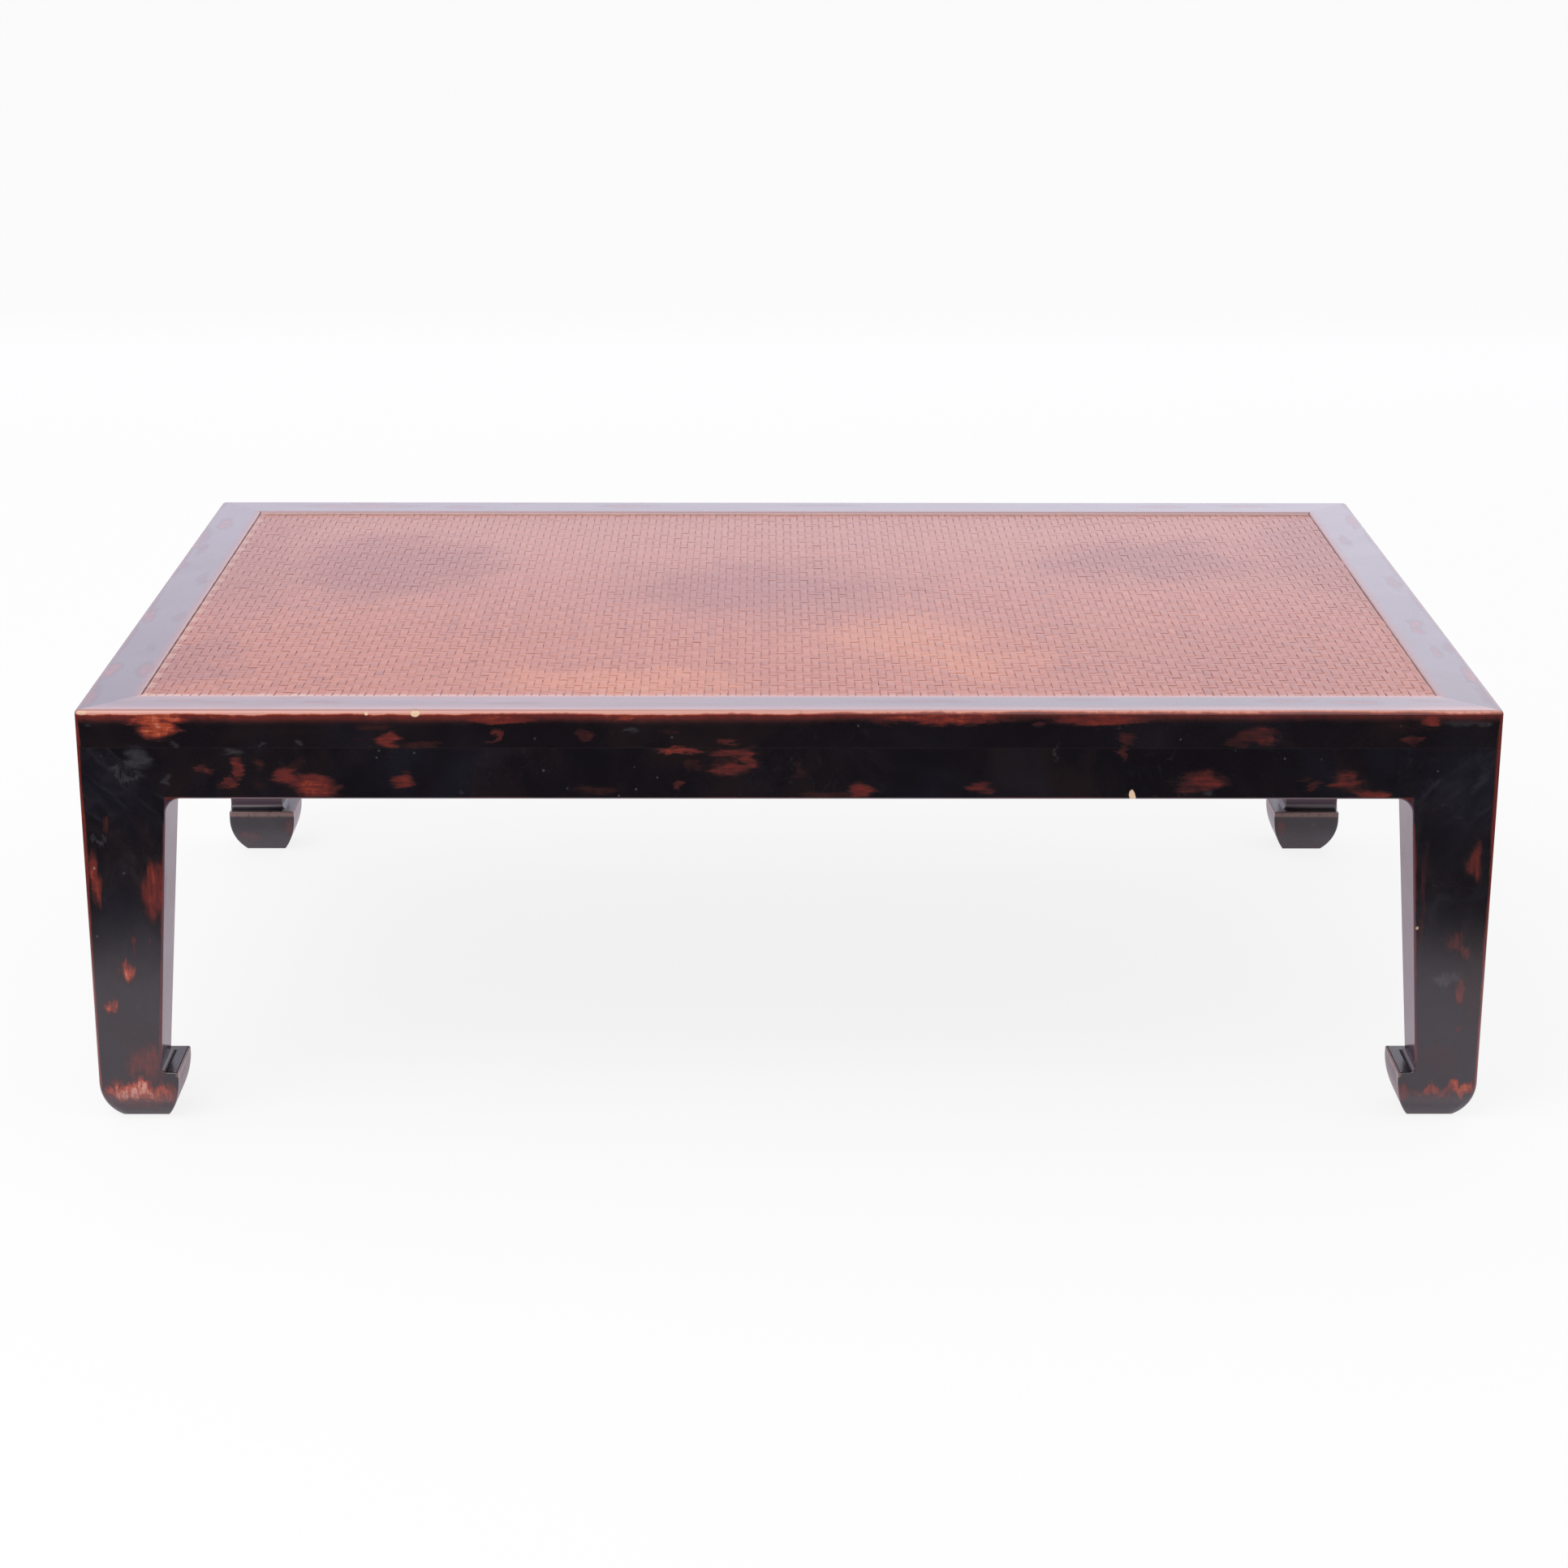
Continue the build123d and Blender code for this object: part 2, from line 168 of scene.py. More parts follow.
def ramp(tree, value, stops):
    made = put(tree, "ValToRGB", {"Fac": value})
    row = made.color_ramp.elements
    while len(row) < len(stops):
        row.new(0.5)
    for element, (place, colour) in zip(row, stops):
        element.position = place
        element.color = (*colour, 1.0)
    return made.outputs["Color"]


def emptyTree(owner):
    owner.use_nodes = True
    owner.node_tree.nodes.clear()
    return owner.node_tree


def newMaterial(name):
    material = bpy.data.materials.new(name)
    tree = emptyTree(material)
    surface = put(tree, "BsdfPrincipled")
    tree.links.new(surface.outputs[0], put(tree, "OutputMaterial").inputs["Surface"])
    place = put(tree, "TexCoord").outputs["Object"]
    return material, tree, surface, place


def bump(tree, height, depth):
    wires = {"Strength": 1.0, "Distance": depth, "Height": height}
    return put(tree, "Bump", wires).outputs["Normal"]


# camera, floor and light

camera = {
    "lens": 74.576,             # mm
    "sensor": 36.0,             # mm
    "place": (-0.01962, -3.00489, 1.14655),
    "yaw": -0.3247,             # degrees, seen from above
    "pitch": 17.7684,           # degrees below the horizon
    "roll": -0.1215,
}


def aimCamera():
    # the three axes of a camera turned by yaw, tipped down by pitch, then rolled about its line of sight
    yaw = math.radians(camera["yaw"])
    pitch = math.radians(camera["pitch"])
    roll = math.radians(camera["roll"])
    ahead = Vector((-math.sin(yaw) * math.cos(pitch), math.cos(yaw) * math.cos(pitch), -math.sin(pitch)))
    level = Vector((math.cos(yaw), math.sin(yaw), 0.0))
    down = ahead.cross(level)
    right = level * math.cos(roll) + down * math.sin(roll)
    up = level * math.sin(roll) - down * math.cos(roll)
    lens = bpy.data.cameras.new("camera")
    lens.lens = camera["lens"]
    lens.sensor_width = camera["sensor"]
    eye = bpy.data.objects.new("camera", lens)
    scene.collection.objects.link(eye)
    turn = Matrix((right, up, -ahead)).transposed().to_4x4()
    eye.matrix_world = Matrix.Translation(camera["place"]) @ turn
    scene.camera = eye


studio = {
    "floorHalf": 30.0,          # m
    "floorColour": 0.95,
    "whiteShare": 0.84,         # share of the seen floor that is plain white; the rest is lit and shadowed
    "glossShare": 0.5,          # the same where the floor is mirrored
    "whiteReach": (0.30, 0.55),    # m round the table where the mirrored floor goes from white to dim
    "dimFloor": 0.03,
    "mirrorTint": (0.98, 0.875, 0.96),    # colour of the floor where it is mirrored
    "roomLight": 0.80,
    "sheen": (0.95, 0.58, 0.74, 1.08),    # the mirrored room: middle, slope left to right, least, most
    "keyPlace": (-1.6, -1.9, 3.1),
    "keySize": 2.6,             # m
    "keyPower": 42.0,           # W
    "rearPlace": (0.0, 3.4, 1.35),
    "rearSize": (7.0, 2.3),
    "rearGlow": 0.45,           # brightness of the panel behind the table, where paper white is 1
    "rearTint": (0.65, 0.47, 0.93),
    "aim": (0.0, 0.0, 0.3),     # where both panels look
}


def makeFloor():
    half = studio["floorHalf"]
    corners = [(-half, -half, 0), (half, -half, 0), (half, half, 0), (-half, half, 0)]
    mesh = bpy.data.meshes.new("floor")
    mesh.from_pydata(corners, [], [(0, 1, 2, 3)])
    floor = bpy.data.objects.new("floor", mesh)
    scene.collection.objects.link(floor)
    material = bpy.data.materials.new("pale floor")
    tree = emptyTree(material)
    place = put(tree, "TexCoord").outputs["Object"]
    # distance outside the table's footprint: length of the part of |place| past its half sizes
    halfSizes = (cadBox[1].x, cadBox[1].y, 0.0)
    folded = shift(tree, "ABSOLUTE", place)
    outside = shift(tree, "MAXIMUM", shift(tree, "SUBTRACT", folded, halfSizes), (0, 0, 0))
    reach = shift(tree, "LENGTH", outside)
    near, far = studio["whiteReach"]
    mirrored = fade(tree, reach, near, far, 1.0, studio["dimFloor"])
    path = put(tree, "LightPath").outputs
    seen, glossy = path["Is Camera Ray"], path["Is Glossy Ray"]
    level = plus(tree, 1.0, less(tree, mirrored, 1.0), glossy)
    hue = blend(tree, glossy, (1, 1, 1), studio["mirrorTint"])
    pale = put(tree, "VectorMath", {0: hue, "Scale": level}, operation="SCALE").outputs["Vector"]
    wires = {0: pale, "Scale": studio["floorColour"]}
    lit = put(tree, "VectorMath", wires, operation="SCALE").outputs["Vector"]
    matt = put(tree, "BsdfDiffuse", {"Color": lit}).outputs[0]
    white = put(tree, "Emission", {"Color": pale, "Strength": 1.0}).outputs[0]
    seenShare = times(tree, seen, studio["whiteShare"])
    share = highest(tree, seenShare, times(tree, glossy, studio["glossShare"]))
    both = put(tree, "MixShader", {0: share, 1: matt, 2: white}).outputs[0]
    # from below the camera looks through it, at the underside of the table
    beneath = times(tree, put(tree, "NewGeometry").outputs["Backfacing"], seen)
    clear = put(tree, "BsdfTransparent").outputs[0]
    both = put(tree, "MixShader", {0: beneath, 1: both, 2: clear}).outputs[0]
    tree.links.new(both, put(tree, "OutputMaterial").inputs["Surface"])
    mesh.materials.append(material)


def lightRoom():
    world = bpy.data.worlds.new("room")
    tree = emptyTree(world)
    # plain light for the object, white for the camera; mirrored, a room that brightens from left to right
    path = put(tree, "LightPath").outputs
    middle, rise, least, most = studio["sheen"]
    across = put(tree, "SeparateXYZ", {0: put(tree, "TexCoord").outputs["Generated"]}).outputs[0]
    mirrored = slope(tree, across, (least - middle) / rise, (most - middle) / rise, least, most)
    plain = studio["roomLight"]
    strength = plus(tree, plain, path["Is Camera Ray"], 1.0 - plain)
    strength = plus(tree, strength, less(tree, mirrored, strength), path["Is Glossy Ray"])
    glow = put(tree, "Background", {"Color": (1, 1, 1, 1), "Strength": strength}).outputs[0]
    tree.links.new(glow, put(tree, "OutputWorld").inputs["Surface"])
    scene.world = world


def addPanel(name, place, size, power, tint=(1, 1, 1)):
    light = bpy.data.lights.new(name, "AREA")
    light.shape = "RECTANGLE"
    light.size, light.size_y = size
    light.energy = power
    light.color = tint
    panel = bpy.data.objects.new(name, light)
    panel.location = place
    panel.rotation_mode = "QUATERNION"
    panel.rotation_quaternion = (Vector(studio["aim"]) - Vector(place)).to_track_quat("-Z", "Y")
    panel.visible_camera = False
    scene.collection.objects.link(panel)


aimCamera()
makeFloor()
lightRoom()
addPanel("key panel", studio["keyPlace"], (studio["keySize"], studio["keySize"]), studio["keyPower"])
rearWide, rearTall = studio["rearSize"]
rearPower = studio["rearGlow"] * math.pi * rearWide * rearTall
addPanel("rear panel", studio["rearPlace"], studio["rearSize"], rearPower, studio["rearTint"])
print("camera, floor and light made")


# lacquer: black over a red undercoat, rubbed through at the edges and in patches

table = {
    "halfLong": cadBox[1].x,
    "halfDeep": cadBox[1].y,
    "top": cadBox[1].z,
    "railWide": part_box("left_end_rail")[1].x + cadBox[1].x,
    "apronUnder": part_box("front_apron")[0].z + 3.6 * mm,    # the rounded corners run that much lower
    "ledge": 46 * mm,           # height of the flat on top of each toe
    "faceWide": (55 * mm, 72.5 * mm),     # a leg's front face at the ledge and at the apron
    "sideWide": (48.5 * mm, 66 * mm),     # its side face at the same two heights
}

lacquer = {
    "black": (0.0034, 0.0018, 0.0048),
    "bluish": (0.0070, 0.0068, 0.0140),
    "brownish": (0.0110, 0.0038, 0.0048),
    # scuffed: the grey of scuffs, also used for the feet's painted reflection of the floor
    "scuffed": (0.070, 0.068, 0.078),
    "thinned": (0.0125, 0.0035, 0.0042),
    "brown": (0.0450, 0.0075, 0.0080),
    "red": (0.1500, 0.0145, 0.0100),
    "orange": (0.4000, 0.0560, 0.0150),
    # salmon: the pale undercoat, made paler to stand in partly for the painted highlight on the front arris
    "salmon": (0.6200, 0.2750, 0.2250),
    "cream": (0.7800, 0.5400, 0.3600),
    "dull": (0.0180, 0.0120, 0.0105),     # the inside faces, brushed thin
    "inner": (0.0620, 0.0230, 0.0460),    # the inner faces of the legs
    "rubbed": (0.1900, 0.0950, 0.0780),   # the front rail's top, greyed by hands
    "dusted": (0.2300, 0.1250, 0.1150),   # the upper arris of the toes
    "lipPaintedLightUpper": (0.46, 0.30, 0.34),       # the upright face of the low step round the mat, with the next line: painted light over its shade, darker at the lit top, palest at the foot
    "lipPaintedLightLower": (0.90, 0.74, 0.74),
    "rough": (0.26, 0.30),      # sound and bare
    "coatRough": 0.09,
    "endCoat": 0.93,            # the end rails shine a little less than the rest
    "bump": 0.10 * mm,
    "index": 1.5,
    "seed": 11,
}

# Rubbed patches of the front, in mm: middle across, middle up, half width, half height, depth of wear.
# Depth runs from 0.2, black rubbed thin, through 0.6, red, and 0.85, orange, to 1, the pale ground.
frontWear = [
    (-527, 366, 34, 9, 0.80), (-530, 357, 19, 13, 0.80), (-533, 363, 24, 7, 0.78), (-465, 371, 60, 6, 0.62),
    (-462, 352, 30, 12, 0.16),
    (-492, 322, 8, 7, 0.46), (-465, 323, 8, 13, 0.56), (-474, 309, 8, 8, 0.52), (-445, 327, 8, 6, 0.38),
    (-446, 309, 10, 7, 0.22), (-421, 317, 19, 11, 0.56), (-400, 309, 24, 12, 0.62), (-413, 328, 7, 5, 0.24),
    (-338, 349, 12, 9, 0.58), (-312, 344, 24, 4, 0.32), (-350, 361, 24, 6, 0.28), (-328, 313, 13, 8, 0.56),
    (-365, 348, 7, 5, 0.22), (-248, 367, 42, 6, 0.62), (-251, 351, 5, 8, 0.46), (-130, 369, 50, 4, 0.62),
    (-172, 353, 12, 7, 0.36), (-92, 339, 24, 3, 0.62), (-50, 336, 30, 6, 0.48), (-50, 324, 24, 8, 0.52),
    (-36, 332, 10, 14, 0.50), (-52, 348, 13, 4, 0.42), (-98, 356, 16, 4, 0.26), (-82, 326, 12, 7, 0.28),
    (-94, 309, 4, 6, 0.44), (5, 322, 7, 10, 0.26), (-75, 345, 40, 18, 0.18), (-165, 305, 22, 6, 0.3),
    (60, 303, 14, 10, 0.52), (132, 368, 80, 7, 0.64), (163, 308, 12, 6, 0.48),
    (262, 367, 60, 8, 0.60), (283, 349, 10, 7, 0.36), (279, 338, 6, 9, 0.36), (300, 352, 34, 16, 0.16),
    (350, 313, 23, 12, 0.52), (335, 309, 17, 9, 0.40), (394, 354, 22, 8, 0.38), (378, 348, 11, 9, 0.30),
    (400, 350, 10, 6, 0.46), (442, 308, 8, 6, 0.34), (472, 313, 18, 12, 0.50), (493, 302, 22, 6, 0.56),
    (452, 346, 9, 6, 0.16), (540, 366, 17, 10, 0.64), (524, 347, 10, 6, 0.36), (515, 360, 30, 10, 0.22),
    (-579, 272, 4, 8, 0.36), (-591, 229, 6, 28, 0.60), (-540, 212, 16, 30, 0.60), (-546, 262, 10, 30, 0.18),
    (-563, 164, 5, 12, 0.40), (-550, 172, 3, 6, 0.5), (-569, 137, 7, 14, 0.80), (-584, 108, 7, 10, 0.74),
    (-555, 56, 26, 22, 0.48), (-568, 30, 38, 14, 0.90), (-545, 26, 20, 14, 0.74), (-533, 22, 10, 20, 0.60),
    (-566, 14, 46, 14, 0.56), (-570, 85, 22, 22, 0.2),
    (584, 241, 7, 20, 0.50), (573, 166, 11, 13, 0.40), (582, 157, 7, 7, 0.46), (579, 119, 7, 12, 0.48),
    (581, 87, 5, 5, 0.44), (586, 31, 16, 11, 0.76), (535, 26, 7, 14, 0.56), (566, 26, 32, 8, 0.62),
    (562, 13, 42, 14, 0.36), (541, 205, 3, 62, 0.3), (566, 60, 26, 24, 0.24), (590, 120, 8, 60, 0.24),
    (34, 300, 34, 6, 0.30), (207, 362, 5, 4, 0.40),
]

# Rubbed places of the toes: middle across, towards the back, up, half sizes, depth.
toeWear = [
    (-578, 331, 14, 20, 14, 12, 0.52), (-536, 331, 26, 7, 14, 18, 0.46), (538, 331, 22, 7, 14, 18, 0.46),
    (-531, -362, 24, 14, 34, 20, 0.50), (531, -362, 24, 14, 34, 20, 0.42),
]
toeScuffs = [(572, 331, 33, 4, 10, 3, 0.9)]

# Rubbed patches of the top frame: middle across, middle towards the back, half sizes, depth.
topWear = [
    (-592, -80, 7, 26, 0.6), (-564, -88, 6, 22, 0.5), (-592, -268, 7, 34, 0.66), (-563, -270, 7, 26, 0.6),
    (-570, -199, 6, 18, 0.4), (-582, 290, 9, 30, 0.6), (-588, 180, 6, 30, 0.45), (-566, 60, 6, 36, 0.4),
    (579, -108, 7, 22, 0.6), (576, -136, 6, 14, 0.6), (579, -209, 7, 24, 0.6), (594, -282, 7, 30, 0.66),
    (588, 40, 7, 34, 0.5), (570, 220, 7, 30, 0.45), (592, 300, 6, 36, 0.6),
    (-516, -364, 24, 6, 0.6), (-478, -371, 20, 6, 0.56), (-428, -356, 18, 5, 0.6),
    (-395, -369, 22, 6, 0.56), (-311, -355, 9, 4, 0.9), (-230, -372, 34, 6, 0.4), (105, -366, 66, 7, 0.42),
    (250, -360, 30, 6, 0.35), (424, -364, 26, 7, 0.56), (477, -369, 26, 7, 0.6), (540, -362, 20, 7, 0.4),
    (-450, 372, 78, 9, 0.66), (-340, 366, 22, 7, 0.6), (-170, 372, 36, 8, 0.6), (40, 376, 50, 7, 0.4),
    (402, 370, 32, 8, 0.6), (490, 374, 34, 8, 0.6),
]

# Chips down to the pale ground, bluish bloom, and grey scuffs and flecks of the front:
# middle across, middle up, half sizes, and a strength where it isn't 1.
frontChips = [
    (-314, 371.5, 4.5, 3), (-355, 371.5, 2.2, 2, 0.6), (290, 299, 3, 6.5), (-591, 234, 2.0, 2.6, 0.33),
    (538, 180, 2.2, 2.6, 0.38), (-594, 372, 7, 3, 0.40),
]
frontBlues = [
    (572, 305, 46, 60, 0.8), (-568, 187, 34, 40, 0.7), (574, 60, 36, 46, 0.8), (-560, 300, 30, 40, 0.5),
]
frontScuffs = [
    (-516, 343, 3.2, 3.2), (-134, 356, 9, 2.2), (-586, 361, 4, 2.5), (-550, 332, 12, 9), (-469, 338, 9, 3),
    (572, 362, 20, 3), (-588, 262, 9, 3), (-531, 312, 3, 6), (224, 338, 1.2, 9), (566, 130, 15, 6),
    (207, 362, 4, 4), (-474, 314, 2.5, 2), (-412, 344, 4, 3), (-445, 344, 3, 3), (-560, 318, 14, 5),
    (356, 303, 7, 4),
]
spotDepth = {"front": 14 * mm, "top": 9 * mm}    # half size of a mark across its face

# Marks strewn on each piece: how many, then in mm their half length, half width, and depth.
strewing = {
    "legWear": 8,
    "otherWear": 14,
    "wear": ((10, 46), (4, 14), (0.3, 0.74)),
    "chips": (1, (2, 5), (1.5, 3), (0.8, 1.0)),
    "scuffs": (4, (4, 14), (2, 5), (0.5, 0.9)),
    "reach": 14,                # half size across the face, so that no mark ends inside it
    "onArris": 0.55,            # share of the marks that sit on an arris
}


def fieldOf(tree, place, spots):
    # the greatest of all spots, each falling off as a smooth step of its scaled distance from the middle
    total = 0.0
    for middle, half, depth in spots:
        scale = [1.0 / h for h in half]
        offset = [-m / h for m, h in zip(middle, half)]
        far = shift(tree, "LENGTH", shift(tree, "MULTIPLY_ADD", place, scale, offset))
        total = highest(tree, total, fade(tree, far, 1.25, 0.35, 0.0, depth))
    return total


def onFront(spot):
    across, up, wide, tall = [v * mm for v in spot[:4]]
    strength = spot[4] if len(spot) > 4 else 1.0
    return (across, -table["halfDeep"], up), (wide, spotDepth["front"], tall), strength


def onToe(spot):
    return tuple(v * mm for v in spot[:3]), tuple(v * mm for v in spot[3:6]), spot[6]


def onTop(spot):
    across, back, wide, deep = [v * mm for v in spot[:4]]
    return (across, back, table["top"]), (wide, deep, spotDepth["top"]), spot[4]


def nearBox(spots, node):
    low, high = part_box(node)
    slack = 6 * mm
    return [s for s in spots if all(m - h < b + slack and m + h > a - slack
                                    for m, h, a, b in zip(s[0], s[1], low, high))]


def randomWear(node, rng, grain, count, lengths, widths, depths):
    # patches strewn over a piece's outer faces, most of them at its arrises, long along the grain
    low, high = (np.array(c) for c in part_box(node))
    spots = []
    for turn in range(count):
        middle = low + (high - low) * rng.random(3)
        face = turn % 2 if grain == 2 else 1 - grain
        middle[face] = high[face] if (low + high)[face] > 0 else low[face]
        other = 1 - face if grain == 2 else 2
        if rng.random() < strewing["onArris"]:
            middle[other] = rng.choice([low[other], high[other]])
        half = np.full(3, rng.uniform(*widths))
        half[grain] = rng.uniform(*lengths)
        half[face] = strewing["reach"]
        spots.append((tuple(middle), tuple(half * mm), rng.uniform(*depths)))
    return spots


def readPlace(tree, place, node, grain):
    # the wires that all of the lacquer reads: distances from the table's outer faces, and noises
    seed = sum(map(ord, node)) % 97 * 0.37
    away = (seed, -seed, 0.5 * seed)    # each piece reads its noises somewhere else
    at = SimpleNamespace(tree=tree, place=place, seed=seed, away=away)
    at.isRail, at.isApron, at.isLeg = "rail" in node, "apron" in node, "leg" in node
    at.isFront = node == "front_long_rail"
    at.x, y, at.z = put(tree, "SeparateXYZ", {0: place}).outputs
    at.wideX, at.wideY = calc(tree, "ABSOLUTE", at.x), calc(tree, "ABSOLUTE", y)
    at.fromEnd = less(tree, table["halfLong"], at.wideX)
    at.fromFront = less(tree, table["halfDeep"], at.wideY)
    at.fromTop = less(tree, table["top"], at.z)
    at.outer = calc(tree, "MINIMUM", at.fromEnd, at.fromFront)
    at.pushed = scatter(tree, place, longGrained(75.0, 22.0, grain), 5.0, 0.68, 0.5, away)
    at.frayed = shift(tree, "MULTIPLY_ADD", at.pushed, longGrained(20 * mm, 50 * mm, grain), place)
    at.streak = cloud(tree, place, longGrained(360.0, 36.0, grain), 4.0, 0.65, 0.0, away)
    at.crumb = cloud(tree, place, 150.0, 4.0, 0.68, 0.3, away)
    at.mottle = cloud(tree, place, 11.0, 4.0, 0.62, 0.6, away)
    return at


def legFace(at, wide):
    # how far a leg's inner face stands from the table's outer face: it tapers straight to the ledge
    slim, full = table[wide]
    return slope(at.tree, at.z, table["ledge"], table["apronUnder"], slim, full)


edgeWear = {
    "reach": (2.2 * mm, 6.5 * mm),    # how far wear runs from an arris, where sound and where mottled
    "rail": (2.6 * mm, 0.52, 1.0),    # each arris: rounding, depth of wear, reach as a share of the above
    "corner": (2.2 * mm, 0.62, 0.7),
    "apron": (0.4 * mm, 0.46, 0.5),
    "leg": (0.6 * mm, 0.56, 0.7),
    "foot": (0.5 * mm, 0.42, 1.8),
    "legTop": (14 * mm, 26 * mm),     # below the apron's edge, where a leg's inner arris begins to wear
    "legEnd": 12 * mm,                # above the ledge, where it stops
}

frontArris = {
    "rounding": 3.4 * mm,
    "steepness": 5.0,           # how much faster wear ends along the top than down the face
    "mottle": -7 * mm,          # what the mottle takes from a place's depth below the arris
    "lean": (0.9 * mm, -0.8 * mm),    # what is added to that depth at the right and at the left end
    "under": (14 * mm, 3.6 * mm, 0.10, 0.52),    # depths where red begins and is full, and how worn there
    "crown": (4.2 * mm, 1.0 * mm, 0.0, 0.52),    # the same for the pale arris, on top of the red; its paleness is partly a painted highlight
    "sideways": (0.94, 1.12),         # strength at the right and at the left end
}


def wornFront(at):
    # pale on the arris, worn through and lightened further as a painted highlight of its rounding; red
    # under it, brown a finger's breadth down; more to the left than to the right
    tree = at.tree
    past = highest(tree, less(tree, at.fromFront, frontArris["rounding"]), 0.0)
    drop = plus(tree, at.fromTop, past, frontArris["steepness"])
    drop = plus(tree, drop, less(tree, at.mottle, 0.5), frontArris["mottle"])
    drop = calc(tree, "ADD", drop, fade(tree, at.x, 0.5, -0.5, *frontArris["lean"]))
    under = fade(tree, drop, *frontArris["under"])
    crown = fade(tree, drop, *frontArris["crown"])
    sideways = fade(tree, at.x, 0.5, -0.5, *frontArris["sideways"])
    return times(tree, calc(tree, "ADD", under, crown), sideways)


def wornEdges(at):
    # deepest on an arris, falling to nothing a few mm away, further where the mottle is strong
    tree = at.tree
    width = fade(tree, at.mottle, 0.38, 0.66, *edgeWear["reach"])

    def edgeOf(gap, arris):
        rounding, depth, spread = edgeWear[arris]
        ratio = calc(tree, "DIVIDE", less(tree, gap, rounding), times(tree, width, spread))
        return fade(tree, ratio, 1.0, 0.1, 0.0, depth)

    edges = []
    if at.isFront:
        edges.append(wornFront(at))
    elif at.isRail:
        edges.append(edgeOf(plus(tree, at.outer, at.fromTop, 1.3), "rail"))
    if at.isRail or at.isLeg:
        edges.append(edgeOf(calc(tree, "ADD", at.fromEnd, at.fromFront), "corner"))
    if at.isApron:
        lower = apart(tree, at.z, table["apronUnder"])
        edges.append(edgeOf(calc(tree, "ADD", at.outer, lower), "apron"))
    if at.isLeg:
        begin, full = (table["apronUnder"] - drop for drop in edgeWear["legTop"])
        straight = times(tree, fade(tree, at.z, begin, full),
                         fade(tree, at.z, table["ledge"], table["ledge"] + edgeWear["legEnd"]))
        for wide, gapAcross, gapOut in (("faceWide", at.fromEnd, at.fromFront),
                                        ("sideWide", at.fromFront, at.fromEnd)):
            off = apart(tree, gapAcross, legFace(at, wide))
            edges.append(times(tree, edgeOf(calc(tree, "ADD", off, gapOut), "leg"), straight))
        edges.append(edgeOf(at.z, "foot"))
    return highest(tree, *edges)


marking = {
    "scratch": 0.26,            # how far each kind of mark turns the black grey
    "fleck": 0.75,
    "scuff": 0.75,
    "smear": (0.05, 0.22),      # at the foot and at the top of a leg
    "smearRise": (0.25, 0.31),    # m above the floor, where the one turns into the other
    "smudge": 0.13,
}


def soundBlack(at, scuffs, blues):
    # the black itself: clouded brown and blue, with smears, thin curved scratches and flecks
    tree, place, away = at.tree, at.place, at.away
    brownish = fade(tree, at.mottle, 0.48, 0.72, 0.0, 0.85)
    bloom = cloud(tree, place, 8.0, 3.0, 0.6, 0.4, (9.1 + at.seed, 3.3, 5.7))
    blue = fade(tree, bloom, 0.48, 0.72, 0.0, 0.8)
    if blues:
        blue = highest(tree, blue, fieldOf(tree, at.frayed, blues))
    sound = blend(tree, brownish, lacquer["black"], lacquer["brownish"])
    sound = blend(tree, blue, sound, lacquer["bluish"])
    hair = cloud(tree, place, 34.0, 2.0, 0.5, 2.2, away)
    thin = fade(tree, apart(tree, hair, 0.5), 0.006, 0.001)
    gate = fade(tree, cloud(tree, place, 17.0, 1.0, 0.5, 0.0, away), 0.50, 0.66)
    specks = put(tree, "TexVoronoi", {"Vector": place, "Scale": 75.0}, feature="F1").outputs["Distance"]
    fleck = fade(tree, specks, 0.11, 0.05, 0.0, marking["fleck"])
    fleckGate = fade(tree, cloud(tree, place, 28.0, 1.0), 0.52, 0.64)
    marks = highest(tree, times(tree, thin, gate, marking["scratch"]), times(tree, fleck, fleckGate))
    if at.isLeg:
        # smears across the upper leg, on the slant of the mitre
        girth = calc(tree, "ADD", at.wideX, at.wideY)
        slanted = {0: calc(tree, "ADD", girth, at.z), 1: less(tree, girth, at.z)}
        slant = put(tree, "CombineXYZ", slanted).outputs[0]
        smear = cloud(tree, slant, (16.0, 85.0, 1.0), 4.0, 0.62, 0.5, away)
        upper = fade(tree, at.z, *marking["smearRise"], *marking["smear"])
        smudge = cloud(tree, place, (38.0, 38.0, 26.0), 5.0, 0.68, 0.9, (at.seed, 4.1, 2.3))
        marks = highest(tree, marks, times(tree, fade(tree, smear, 0.48, 0.72), upper),
                        fade(tree, smudge, 0.46, 0.74, 0.0, marking["smudge"]))
    if scuffs:
        scuffed = times(tree, fieldOf(tree, at.frayed, scuffs), at.crumb, marking["scuff"])
        marks = highest(tree, marks, scuffed)
    return blend(tree, marks, sound, lacquer["scuffed"])


inside = {
    "apron": (20 * mm, 24 * mm),      # from the outer face, where the inner one comes
    "rail": (32.2 * mm, 32.9 * mm),   # below the top, where the underside comes
    "leg": (-1.5 * mm, -0.3 * mm),    # past the place of the inner face
    "share": 0.85,              # how far the colour changes
    "coat": -0.8,               # what the coat loses
    "legCoat": -0.55,
}


def brushedCarcass(at, colour, gloss):
    # the undersides of the rails and the inner faces of the aprons were only brushed over
    tree = at.tree
    if at.isApron:
        brushed = fade(tree, at.outer, *inside["apron"])
    else:
        brushed = fade(tree, at.fromTop, *inside["rail"])
    colour = blend(tree, times(tree, brushed, inside["share"]), colour, lacquer["dull"])
    return colour, plus(tree, gloss, brushed, inside["coat"], clamp=True)


toe = {
    "arrisDrop": 2.2 * mm,      # below the ledge
    "arris": (4.6 * mm, 1.8 * mm, 0.0, 0.85),
    "tips": (63 * mm, 69.5 * mm),     # from the front and from the end to the tips of the toe
    "lengthwise": (5.5 * mm, 7.5 * mm),    # fromEnd less fromFront, on the face that looks along the table
    "coat": (-0.2, -0.75),      # what the coat loses on the two inward faces
    # the feet's grey near the floor: scuffs together with a painted reflection of the pale floor
    "scuffAndFloorSheenRise": (34 * mm, 12 * mm),
    "scuffAndFloorSheenShare": 0.6,
}


